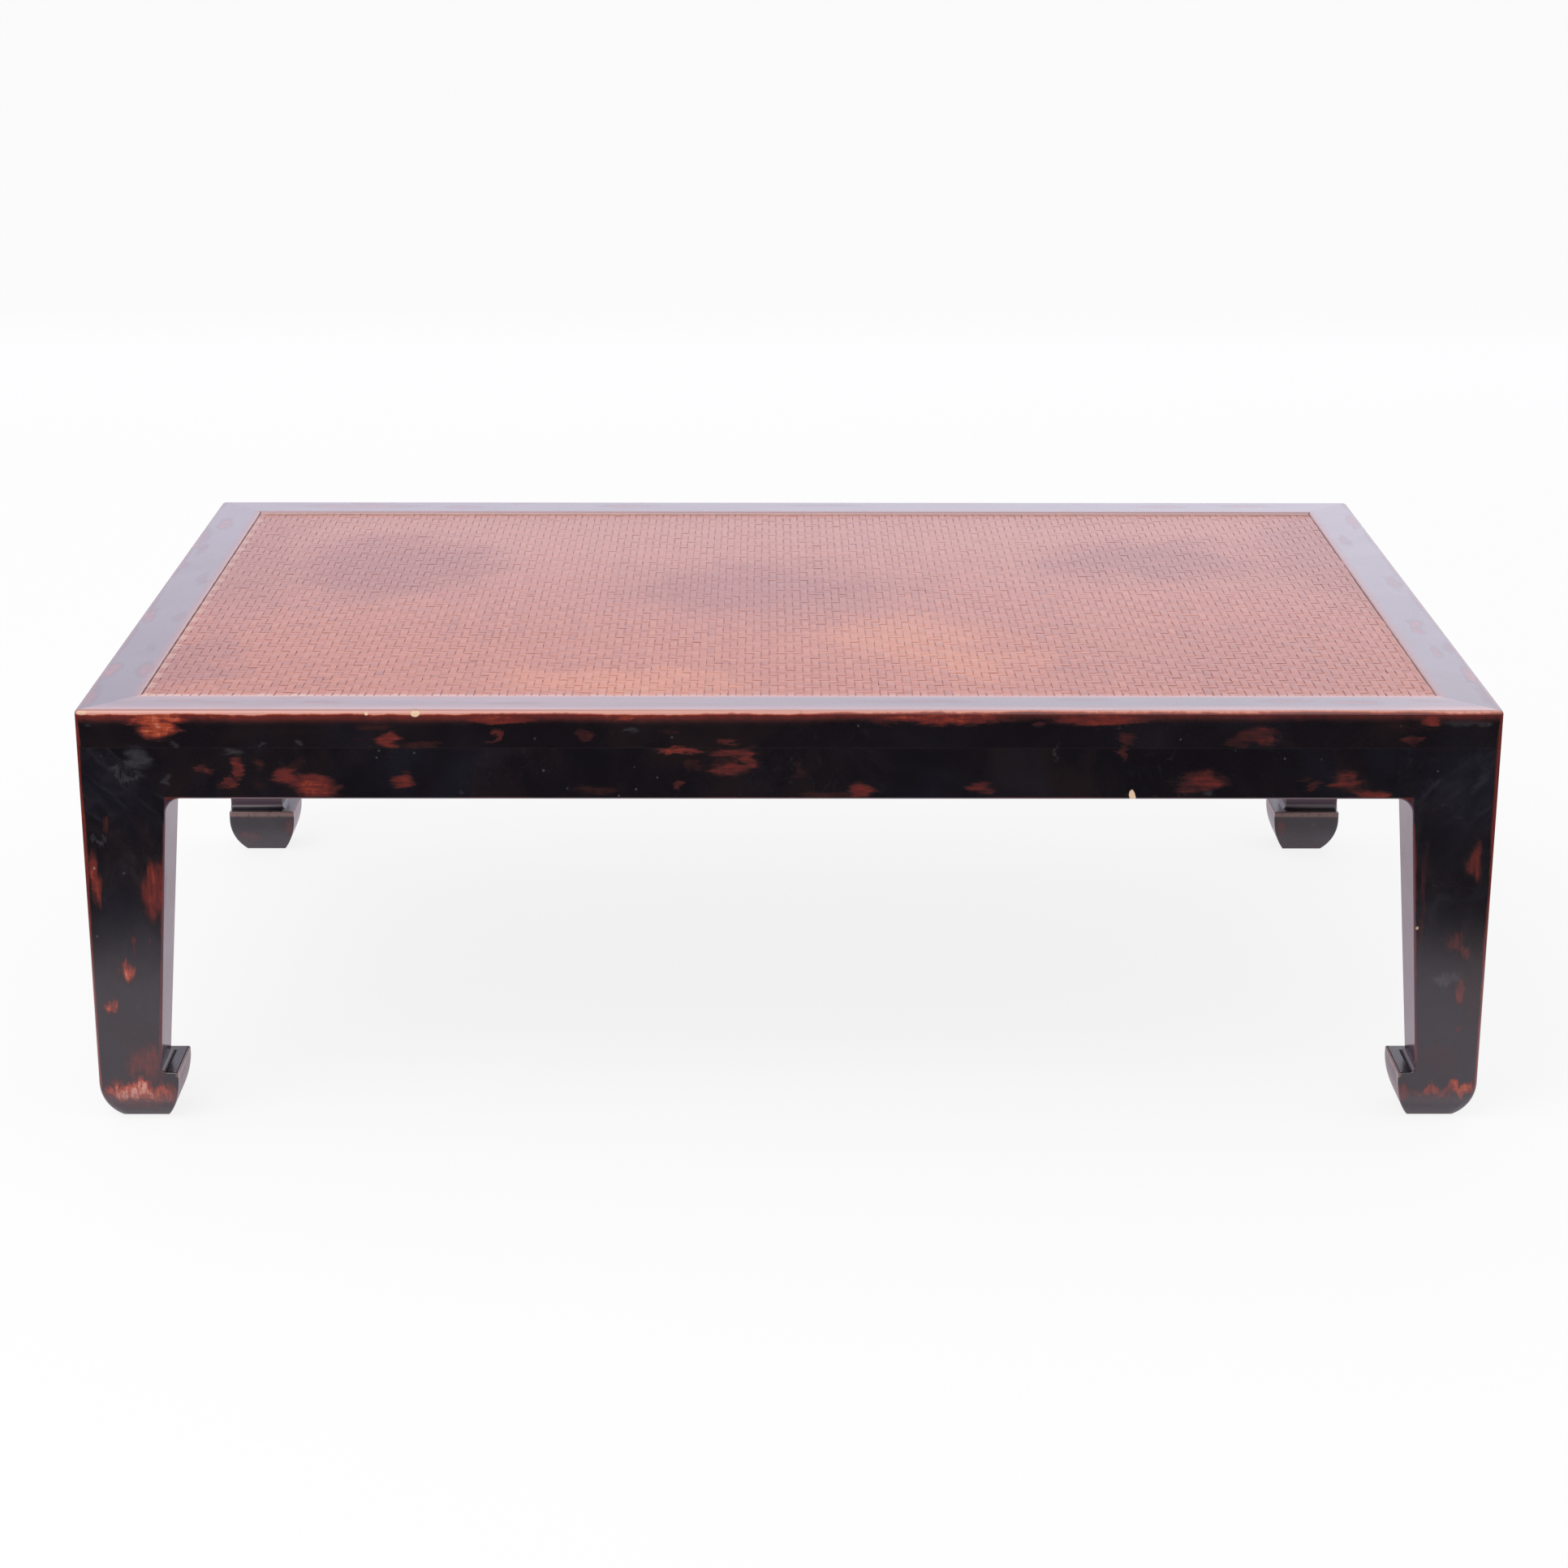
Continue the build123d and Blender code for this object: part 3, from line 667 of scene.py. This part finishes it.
def brushedLeg(at, colour, gloss):
    tree, ledge = at.tree, table["ledge"]
    # the two inner faces above the ledge were only brushed over
    gaps = (("faceWide", at.fromEnd), ("sideWide", at.fromFront))
    facing = [fade(tree, less(tree, gap, legFace(at, wide)), *inside["leg"]) for wide, gap in gaps]
    brushed = times(tree, highest(tree, *facing), fade(tree, at.z, ledge + 0.5 * mm, ledge + 3 * mm))
    colour = blend(tree, times(tree, brushed, inside["share"]), colour, lacquer["inner"])
    gloss = plus(tree, gloss, brushed, inside["legCoat"])
    # the toe's upper arris, at its farthest reach from the two outer faces, is rubbed to a dusty pink
    off = apart(tree, at.z, ledge - toe["arrisDrop"])
    for tip, gap in zip(toe["tips"], (at.fromFront, at.fromEnd)):
        back = highest(tree, less(tree, tip, gap), 0.0)
        line = fade(tree, plus(tree, off, back, 1.3), *toe["arris"])
        line = times(tree, line, fade(tree, at.crumb, 0.25, 0.5))
        colour = blend(tree, line, colour, lacquer["dusted"])
    # the toe's two inward faces are dull, the one that faces along the table more so
    inward = times(tree, fade(tree, at.z, ledge + 1 * mm, ledge - 1 * mm),
                   fade(tree, at.outer, 2 * mm, 6 * mm))
    lengthwise = less(tree, at.fromEnd, at.fromFront)
    gloss = plus(tree, gloss, inward, fade(tree, lengthwise, *toe["lengthwise"], *toe["coat"]))
    # the foot turns grey towards the floor, from scuffs and from a painted reflection of the pale floor;
    # and the ledge has lost its coat
    grey = fade(tree, at.z, *toe["scuffAndFloorSheenRise"], 0.0, toe["scuffAndFloorSheenShare"])
    colour = blend(tree, grey, colour, lacquer["scuffed"])
    flat = fade(tree, apart(tree, at.z, ledge), 2.5 * mm, 1.2 * mm)
    flat = times(tree, flat, fade(tree, at.outer, 1.5 * mm, 4 * mm))
    return colour, plus(tree, gloss, flat, -1.0, clamp=True)


railTop = {
    "onTop": (1.6 * mm, 0.6 * mm),    # below the top, where rubbing of the top face comes in
    "greyOnTop": (0.8 * mm, 0.2 * mm),
    "blushReach": (18 * mm, 3 * mm),    # from the front
    "blush": (0.42, 0.68),      # to the left of the middle, and at the right end
    "lipReach": (9 * mm, 0.5 * mm),    # from the lip round the mat
    "frontLip": 0.80,           # how pink the lip is
    "otherLip": 0.40,
    "lipCoat": -0.4,
    "uprightReach": (1.0 * mm, 0.4 * mm),
    "step": (3.0 * mm, 2.4 * mm),     # below the top, past the foot of the lip's upright face
    "paintedLightFade": (0.6 * mm, 2.0 * mm),   # below the top, where the painted light goes from the upper to the lower colour
    "seam": (0.7 * mm, 0.2 * mm),
    "seamShare": 0.8,
}


def rubbedFront(at, colour):
    # the front rail's top is greyed along its length, most at the left
    tree = at.tree
    wiped = cloud(tree, at.place, (3.5, 60.0, 60.0), 4.0, 0.6, 0.3, at.away)
    ends = highest(tree, fade(tree, at.x, 0.42, -0.55, 0.12, 1.0), fade(tree, at.x, 0.44, 0.56, 0.0, 0.6))
    grey = times(tree, fade(tree, wiped, 0.30, 0.62, 0.45, 1.0), ends,
                 fade(tree, at.fromTop, *railTop["greyOnTop"]))
    colour = blend(tree, grey, colour, lacquer["rubbed"])
    # and blushes towards its outer edge
    blush = times(tree, fade(tree, at.fromFront, *railTop["blushReach"]), fade(tree, wiped, 0.3, 0.6),
                  fade(tree, at.x, -0.1, 0.5, *railTop["blush"]), fade(tree, at.fromTop, *railTop["onTop"]))
    return blend(tree, blush, colour, lacquer["salmon"])


def rubbedRail(at, colour, gloss, depth):
    # the lip round the mat is rubbed pink along its top; its upright face is painted pale, painted light
    # over the shade of the recess, palest at the foot
    tree = at.tree
    lip = apart(tree, at.outer, table["railWide"])
    rubbed = times(tree, fade(tree, lip, *railTop["lipReach"]), fade(tree, at.fromTop, *railTop["onTop"]))
    pink = times(tree, rubbed, railTop["frontLip" if at.isFront else "otherLip"])
    colour = blend(tree, pink, colour, lacquer["salmon"])
    gloss = plus(tree, gloss, rubbed, railTop["lipCoat"], clamp=True)
    # painted light: the upright face gets a pale colour that fills in its shade, paler towards its shaded
    # foot
    upright = times(tree, fade(tree, lip, *railTop["uprightReach"]),
                    fade(tree, at.fromTop, *railTop["step"]), fade(tree, at.fromTop, 0.02 * mm, 0.12 * mm))
    paintedLightFade = fade(tree, at.fromTop, *railTop["paintedLightFade"])
    colour = blend(tree, upright, colour, blend(tree, paintedLightFade, lacquer["lipPaintedLightUpper"], lacquer["lipPaintedLightLower"]))
    # a hairline where the mitred corners of the top frame meet
    seam = times(tree, fade(tree, apart(tree, at.fromEnd, at.fromFront), *railTop["seam"]),
                 fade(tree, at.outer, 2 * mm, 4 * mm))
    colour = blend(tree, times(tree, seam, railTop["seamShare"]), colour, lacquer["thinned"])
    return colour, gloss, plus(tree, depth, seam, railTop["seamShare"])


def makeLacquer(node, grain, spots, chips, scuffs, blues):
    material, tree, surface, place = newMaterial("lacquer " + node.replace("_", " "))
    at = readPlace(tree, place, node, grain)

    # patches are read where the ragged noise has pushed the place, then broken into crumbs and streaks
    broken = plus(tree, 0.98, less(tree, at.streak, 0.5), 1.0)
    broken = plus(tree, broken, less(tree, at.crumb, 0.5), 0.8)
    patch = times(tree, fieldOf(tree, at.frayed, spots), broken)
    edge = times(tree, wornEdges(at), plus(tree, 0.70, at.crumb, 0.6))
    depth = calc(tree, "MAXIMUM", patch, edge, clamp=True)
    worn = ramp(tree, depth, [
        (0.0, lacquer["black"]), (0.18, lacquer["thinned"]), (0.38, lacquer["brown"]),
        (0.62, lacquer["red"]), (0.84, lacquer["orange"]), (1.0, lacquer["salmon"]),
    ])
    bare = fade(tree, depth, 0.0, 0.42)
    colour = blend(tree, bare, soundBlack(at, scuffs, blues), worn)

    gloss = plus(tree, lacquer["endCoat"] if node.endswith("end_rail") else 1.0, bare, -0.12)
    if at.isLeg:
        colour, gloss = brushedLeg(at, colour, gloss)
    else:
        colour, gloss = brushedCarcass(at, colour, gloss)
    if chips:
        nudged = shift(tree, "MULTIPLY_ADD", at.pushed, (4 * mm, 4 * mm, 4 * mm), place)
        crumbled = calc(tree, "ADD", at.crumb, 0.7)
        chipped = calc(tree, "MULTIPLY", fieldOf(tree, nudged, chips), crumbled, clamp=True)
        chipped = fade(tree, chipped, 0.30, 0.62)
        colour = blend(tree, chipped, colour, lacquer["cream"])
        gloss = plus(tree, gloss, chipped, -0.9, clamp=True)
        depth = plus(tree, depth, chipped, 1.2)
    if at.isFront:
        colour = rubbedFront(at, colour)
    if at.isRail:
        colour, gloss, depth = rubbedRail(at, colour, gloss, depth)

    # roughness clouded by the mottle; relief of a fine peel, sunk where worn, with the grain where bare
    smooth, dry = lacquer["rough"]
    rough = plus(tree, plus(tree, smooth - 0.08, at.mottle, 0.16), bare, dry - smooth)
    peel = cloud(tree, place, 240.0, 2.0)
    height = plus(tree, times(tree, peel, 0.12), depth, -1.5)
    height = plus(tree, height, at.streak, times(tree, bare, 0.5))
    feed(tree, surface.inputs["Base Color"], colour)
    feed(tree, surface.inputs["Roughness"], rough)
    feed(tree, surface.inputs["Coat Weight"], gloss)
    feed(tree, surface.inputs["Normal"], bump(tree, height, lacquer["bump"]))
    surface.inputs["Coat Roughness"].default_value = lacquer["coatRough"]
    surface.inputs["IOR"].default_value = lacquer["index"]
    return material


def paint(node, material):
    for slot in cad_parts[node].material_slots:
        slot.material = material


def lacquerPieces():
    rng = np.random.default_rng(lacquer["seed"])
    placedWear = [onFront(s) for s in frontWear] + [onTop(s) for s in topWear] + [onToe(s) for s in toeWear]
    placedChips = [onFront(s) for s in frontChips]
    placedScuffs = [onFront(s) for s in frontScuffs] + [onToe(s) for s in toeScuffs]
    placedBlues = [onFront(s) for s in frontBlues]
    pieces = [n for n in sorted(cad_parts) if n.endswith(("_rail", "_apron")) or n.startswith("leg_")]
    for node in pieces:
        low, high = (np.array(c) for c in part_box(node))
        isLeg = node.startswith("leg_")
        grain = 2 if isLeg else int(np.argmax(high - low))
        count = strewing["legWear" if isLeg else "otherWear"]
        strewn = [randomWear(node, rng, grain, count, *strewing["wear"]),
                  randomWear(node, rng, grain, *strewing["chips"]),
                  randomWear(node, rng, grain, *strewing["scuffs"])]
        if "front" in node:
            # the front already has its own marks, so only those of the side faces stay
            clear = -table["halfDeep"] + 20 * mm
            strewn = [[s for s in group if s[0][1] > clear] for group in strewn]
        placed = [nearBox(group, node) for group in (placedWear, placedChips, placedScuffs)]
        wear, chips, scuffs = (near + loose for near, loose in zip(placed, strewn))
        paint(node, makeLacquer(node, grain, wear, chips, scuffs, nearBox(placedBlues, node)))
    print("lacquer on", len(pieces), "pieces")


lacquerPieces()


# bare wood: the boards under the mat, their battens and the loose tenons

bareWood = {
    "pale": (0.235, 0.125, 0.060),
    "dark": (0.085, 0.040, 0.020),
    "stain": (0.045, 0.024, 0.015),
    "rings": 46.0,              # growth rings per metre across the grain
    "drift": 0.22,              # m that slow noise moves them
    "rough": (0.58, 0.78),
    "bump": 0.25 * mm,
}


def makeBareWood(name, grain):
    # rings: a sine of the distance across the grain, bent by slow noise
    # pores: fine noise, drawn out along the grain
    material, tree, surface, place = newMaterial("bare wood " + name)
    drift = cloud(tree, place, longGrained(5.0, 0.8, grain), 3.0, 0.5, 0.3)
    axes = put(tree, "SeparateXYZ", {0: place}).outputs
    across = plus(tree, axes[1 - grain], drift, bareWood["drift"])
    wave = calc(tree, "SINE", times(tree, across, bareWood["rings"] * 2 * math.pi))
    ring = calc(tree, "POWER", plus(tree, 0.5, wave, 0.5), 1.8)
    pores = cloud(tree, place, longGrained(700.0, 16.0, grain), 3.0, 0.65)
    shade = plus(tree, times(tree, pores, 0.5), ring, 0.55, clamp=True)
    colour = blend(tree, shade, bareWood["pale"], bareWood["dark"])
    grime = fade(tree, cloud(tree, place, 7.0, 4.0, 0.6, 0.8), 0.42, 0.72, 0.1, 0.75)
    colour = blend(tree, grime, colour, bareWood["stain"])
    low, high = bareWood["rough"]
    height = plus(tree, times(tree, pores, 0.6), ring, 0.5)
    feed(tree, surface.inputs["Base Color"], colour)
    feed(tree, surface.inputs["Roughness"], plus(tree, low, pores, high - low))
    feed(tree, surface.inputs["Normal"], bump(tree, height, bareWood["bump"]))
    return material


boardWood = makeBareWood("boards", 0)
battenWood = makeBareWood("battens", 1)
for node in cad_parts:
    if node.startswith("panel_board"):
        paint(node, boardWood)
    elif node.startswith("batten") or node == "frame_keys":
        paint(node, battenWood)
print("bare wood on the boards, battens and loose tenons")


# woven mat: flat cane strands in a two-over, two-under twill that turns at the middle both ways

matLow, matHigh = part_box("woven_mat")
mat = {
    "columns": 156,             # strands that run front to back
    "rows": 88,                 # strands that run side to side
    "columnCover": 0.95,        # strand width as a share of its pitch
    "rowCover": 0.99,
    "columnHalf": 0.13 * mm,    # half thickness of a strand
    "rowHalf": 0.07 * mm,
    "columnRise": 0.17 * mm,    # how far a column lies above or below the weave's middle
    "rowRise": 0.03 * mm,       # a row stays nearly straight
    "middle": matHigh.z - 0.75 * mm,
    "endTop": matHigh.z + 1.5 * mm,    # where the cut ends at the front stand, under the frame's top
    "inset": 0.15 * mm,         # from the mat's edge to a strand's end
    "shoulder": (0.84, 0.76),   # width of a strand's flat top as a share of its width: rows, columns
    "flat": 0.25,               # half length of the flat of one crossing, as a share of the pitch
    "drift": (1.3 * mm, 26),    # how far a column may stand from its even place, and its shortest wave
    "heave": (0.045 * mm, 9),   # how much a strand wanders up and down, and its shortest wave in points
    "sway": (0.14 * mm, 14),    # sideways
    "swell": (0.05, 20),        # how much its width varies
    "fading": (0.05, 5),        # how much its tone varies
    "toneSpread": 0.045,        # and from strand to strand
    "endRise": (1.0, 0.97, 0.6, 0.12),    # how far the first points of a lifted end are raised
    "endCut": (1.0, 1.0, 0.6),  # how pale the first points of a cut end are
    "backCut": 0.35,            # how pale the last point is
    "rowCut": 0.4,
    "leftward": (0.1, 0.55),    # m: where the front ends begin to stand up and pale, and over what length
    "leastLift": 0.45,          # lift and paleness at the right
    "leastCut": 0.25,
    "seed": 23,
}

cane = {
    "body": (0.468, 0.116, 0.045),
    "light": (0.580, 0.195, 0.096),
    "deep": (0.266, 0.061, 0.042),
    "orange": (0.700, 0.225, 0.062),
    "paintedFarSheen": (0.515, 0.236, 0.200),     # the far half painted paler: a painted sheen of the grazing reflection
    "paintedFarSheenReach": (-0.30, 0.36, 0.0, 0.50),    # m towards the back where it comes in, and its share
    "rim": (0.800, 0.500, 0.470),       # painted light: a pale strip along the two sides, over the shade where the mat meets the lip
    "rimReach": (2.6 * mm, 0.8 * mm),    # in from the side, where it begins and where it is full
    "rimShare": 0.5,
    "cut": (0.860, 0.620, 0.500),
    "rough": (0.42, 0.56),
    "coat": 0.62,
    "coatRough": 0.26,
    "bump": 0.06 * mm,
    "wander": 160 * mm,         # how far noise pushes the outlines of the stains
}

# Stains of the mat, in mm from its middle: across, towards the back, half sizes, strength. The last two
# dark ones, long bands down the two sides, are painted shade.
darkStainsAndSideShade = [
    (-392, 113, 125, 140, 0.64), (-24, 33, 160, 120, 0.56), (366, 142, 130, 100, 0.62),
    (-545, -250, 60, 130, 0.56), (440, -250, 240, 160, 0.22), (-535, 130, 75, 270, 0.42),
    (540, 160, 75, 250, 0.48),
]
lightStains = [(214, 228, 110, 90, 0.25), (-250, 190, 120, 90, 0.25)]
orangeStains = [(156, -235, 80, 60, 0.42), (-150, -290, 130, 45, 0.42), (110, -150, 90, 90, 0.42)]


def onMat(stain):
    across, back, wide, deep = [v * mm for v in stain[:4]]
    return (across, back, matHigh.z), (wide, deep, 1.0), stain[4]


def makeCane(name, grain):
    material, tree, surface, place = newMaterial("cane " + name)
    tone = put(tree, "Attribute", attribute_name="tone").outputs["Fac"]
    cut = put(tree, "Attribute", attribute_name="cut").outputs["Fac"]
    axes = put(tree, "SeparateXYZ", {0: place}).outputs
    wander = scatter(tree, place, 12.0, 4.0, 0.6, 0.5)
    pushed = shift(tree, "MULTIPLY_ADD", wander, (cane["wander"], cane["wander"], 0), place)
    orange, light, dark = (fieldOf(tree, pushed, [onMat(s) for s in group])
                           for group in (orangeStains, lightStains, darkStainsAndSideShade))
    fibre = cloud(tree, place, longGrained(900.0, 45.0, grain), 3.0, 0.6)
    shade = plus(tree, tone, less(tree, fibre, 0.5), 0.3, clamp=True)
    colour = ramp(tree, shade, [(0.12, cane["deep"]), (0.50, cane["body"]), (0.92, cane["light"])])
    colour = blend(tree, orange, colour, cane["orange"])
    colour = blend(tree, light, colour, cane["light"])
    # painted sheen: the far half is blended paler and pinker, as the grazing reflection grows towards the
    # back
    colour = blend(tree, fade(tree, axes[1], *cane["paintedFarSheenReach"]), colour, cane["paintedFarSheen"])
    # dark stains, and painted shade in two bands down the sides
    colour = blend(tree, dark, colour, cane["deep"])
    # painted light: a pale strip along both sides covers the shade next to the lip
    fromSide = less(tree, matHigh.x, calc(tree, "ABSOLUTE", axes[0]))
    rim = fade(tree, fromSide, *cane["rimReach"], 0.0, cane["rimShare"])
    colour = blend(tree, rim, colour, cane["rim"])
    colour = blend(tree, cut, colour, cane["cut"])
    low, high = cane["rough"]
    feed(tree, surface.inputs["Base Color"], colour)
    feed(tree, surface.inputs["Roughness"], plus(tree, low, fibre, high - low))
    feed(tree, surface.inputs["Normal"], bump(tree, fibre, cane["bump"]))
    surface.inputs["Coat Weight"].default_value = cane["coat"]
    surface.inputs["Coat Roughness"].default_value = cane["coatRough"]
    return material


def softNoise(rng, rows, samples, length):
    # random rows, each smoothed by dropping its waves shorter than length samples, scaled to unit spread
    waves = np.fft.rfft(rng.normal(size=(rows, samples)), axis=1)
    waves *= np.exp(-(np.fft.rfftfreq(samples) * length) ** 2)
    smooth = np.fft.irfft(waves, samples, axis=1)
    return smooth / smooth.std()


def wobble(rng, rows, samples, kind):
    spread, length = mat[kind]
    return spread * softNoise(rng, rows, samples, length)


def strandFaces(strands, samples, around):
    # a wall of four-sided faces between neighbouring rings of each strand, and a face at both its ends
    strand = np.arange(strands)[:, None] * samples * around
    first = strand[:, :, None] + np.arange(samples - 1)[None, :, None] * around
    now = np.arange(around)
    after = (now + 1) % around
    walls = np.stack([first + now, first + after, first + around + after, first + around + now], -1)
    starts = strand + now[::-1]
    finishes = strand + (samples - 1) * around + now
    return walls.reshape(-1, 4).tolist() + starts.tolist() + finishes.tolist()


def strandSet(name, lines, stops, above, rise, section, grain, ends, lift, cutShare, rng, material):
    # closed flat strands: a ring of six points, crowned top and bottom, carried along each line
    # lines: the strands' places across; stops: the crossings' places along; above: true where one is on top
    # each crossing gives two points of the path, so that a strand lies flat on it and slants in between
    halfWide, halfThick = section
    pitch = np.diff(stops).mean()
    path = np.repeat(stops, 2) + np.tile([-mat["flat"] * pitch, mat["flat"] * pitch], len(stops))
    path = np.concatenate([[ends[0]], path, [ends[1]]])
    level = np.repeat(np.where(above, 1.0, -1.0), 2, axis=1)
    level = np.concatenate([level[:, :1], level, level[:, -1:]], axis=1) * rise
    strands, samples = level.shape
    level = level + mat["middle"] + wobble(rng, strands, samples, "heave")
    raised = lift[:, None] * np.array(mat["endRise"])
    tip = level[:, :raised.shape[1]]
    tip += raised * (mat["endTop"] - tip)
    side = lines[:, None] + wobble(rng, strands, samples, "sway")
    half = halfWide * (1.0 + wobble(rng, strands, samples, "swell"))
    shoulder = mat["shoulder"][grain]
    ringSide = np.array([-1.0, -shoulder, shoulder, 1.0, shoulder, -shoulder])
    ringUp = np.array([0.0, 1.0, 1.0, 0.0, -1.0, -1.0]) * halfThick
    if grain == 0:
        ringSide = -ringSide
    around = len(ringSide)
    points = np.empty((strands, samples, around, 3))
    points[..., grain] = path[None, :, None]
    points[..., 1 - grain] = side[..., None] + half[..., None] * ringSide
    points[..., 2] = level[..., None] + ringUp
    mesh = bpy.data.meshes.new(name)
    mesh.from_pydata(points.reshape(-1, 3), [], strandFaces(strands, samples, around))
    smooth = np.ones(len(mesh.polygons), bool)
    smooth[-2 * strands:] = False
    mesh.polygons.foreach_set("use_smooth", smooth)
    tone = 0.5 + mat["toneSpread"] * rng.normal(size=(strands, 1)) + wobble(rng, strands, samples, "fading")
    cut = np.zeros((strands, samples))
    cut[:, :len(mat["endCut"])] = cutShare[:, None] * np.array(mat["endCut"])
    cut[:, -1] = mat["backCut"]
    for label, values in (("tone", tone), ("cut", cut)):
        each = np.repeat(np.clip(values, 0, 1).reshape(-1), around)
        layer = mesh.attributes.new(label, "FLOAT", "POINT")
        layer.data.foreach_set("value", each.astype(np.float32))
    mesh.materials.append(material)
    piece = bpy.data.objects.new(name, mesh)
    scene.collection.objects.link(piece)
    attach(piece, "root")
    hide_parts("woven_mat")


def weaveMat():
    rng = np.random.default_rng(mat["seed"])
    columns, rows = mat["columns"], mat["rows"]
    columnPitch = (matHigh.x - matLow.x) / columns
    rowPitch = (matHigh.y - matLow.y) / rows
    across = matLow.x + columnPitch * (np.arange(columns) + 0.5)
    # the columns crowd and thin out a little from left to right
    across += wobble(rng, 1, columns, "drift")[0] * np.sin(np.linspace(0.0, math.pi, columns))
    along = matLow.y + rowPitch * (np.arange(rows) + 0.5)
    # a column is on top where its count from the middle less the row's, left over four, is under two
    columnCount = np.abs(np.arange(columns) - columns // 2)
    rowCount = np.abs(np.arange(rows) - rows // 2)
    columnTop = (columnCount[:, None] - rowCount[None, :]) % 4 < 2
    # the cut ends at the front stand up most, and palest, at the left
    begin, over = mat["leftward"]
    leftness = np.clip((begin - across) / over, 0.0, 1.0)
    uneven = np.clip(0.5 + 0.5 * softNoise(rng, 1, columns, 3)[0], 0.0, 1.0)
    lift = (mat["leastLift"] + (1.0 - mat["leastLift"]) * leftness) * (0.8 + 0.2 * uneven)
    cutShare = (mat["leastCut"] + (1.0 - mat["leastCut"]) * leftness) * (0.6 + 0.4 * uneven)
    inset = mat["inset"]
    yEnds = (matLow.y + inset, matHigh.y - inset)
    xEnds = (matLow.x + inset, matHigh.x - inset)
    warp, weft = makeCane("columns", 1), makeCane("rows", 0)
    column = (0.5 * columnPitch * mat["columnCover"], mat["columnHalf"])
    row = (0.5 * rowPitch * mat["rowCover"], mat["rowHalf"])
    halves = (("left", slice(0, columns // 2)), ("right", slice(columns // 2, None)))
    for name, part in halves:
        strandSet("cane_columns_" + name, across[part], along, columnTop[part], mat["columnRise"], column,
                  1, yEnds, lift[part], cutShare[part], rng, warp)
    flatEnds = np.zeros(rows)
    halves = (("front", slice(0, rows // 2)), ("back", slice(rows // 2, None)))
    for name, part in halves:
        strandSet("cane_rows_" + name, along[part], across, ~columnTop[:, part].T, mat["rowRise"], row,
                  0, xEnds, flatEnds[part], flatEnds[part] + mat["rowCut"], rng, weft)
    print("mat woven:", columns, "columns and", rows, "rows")


weaveMat()
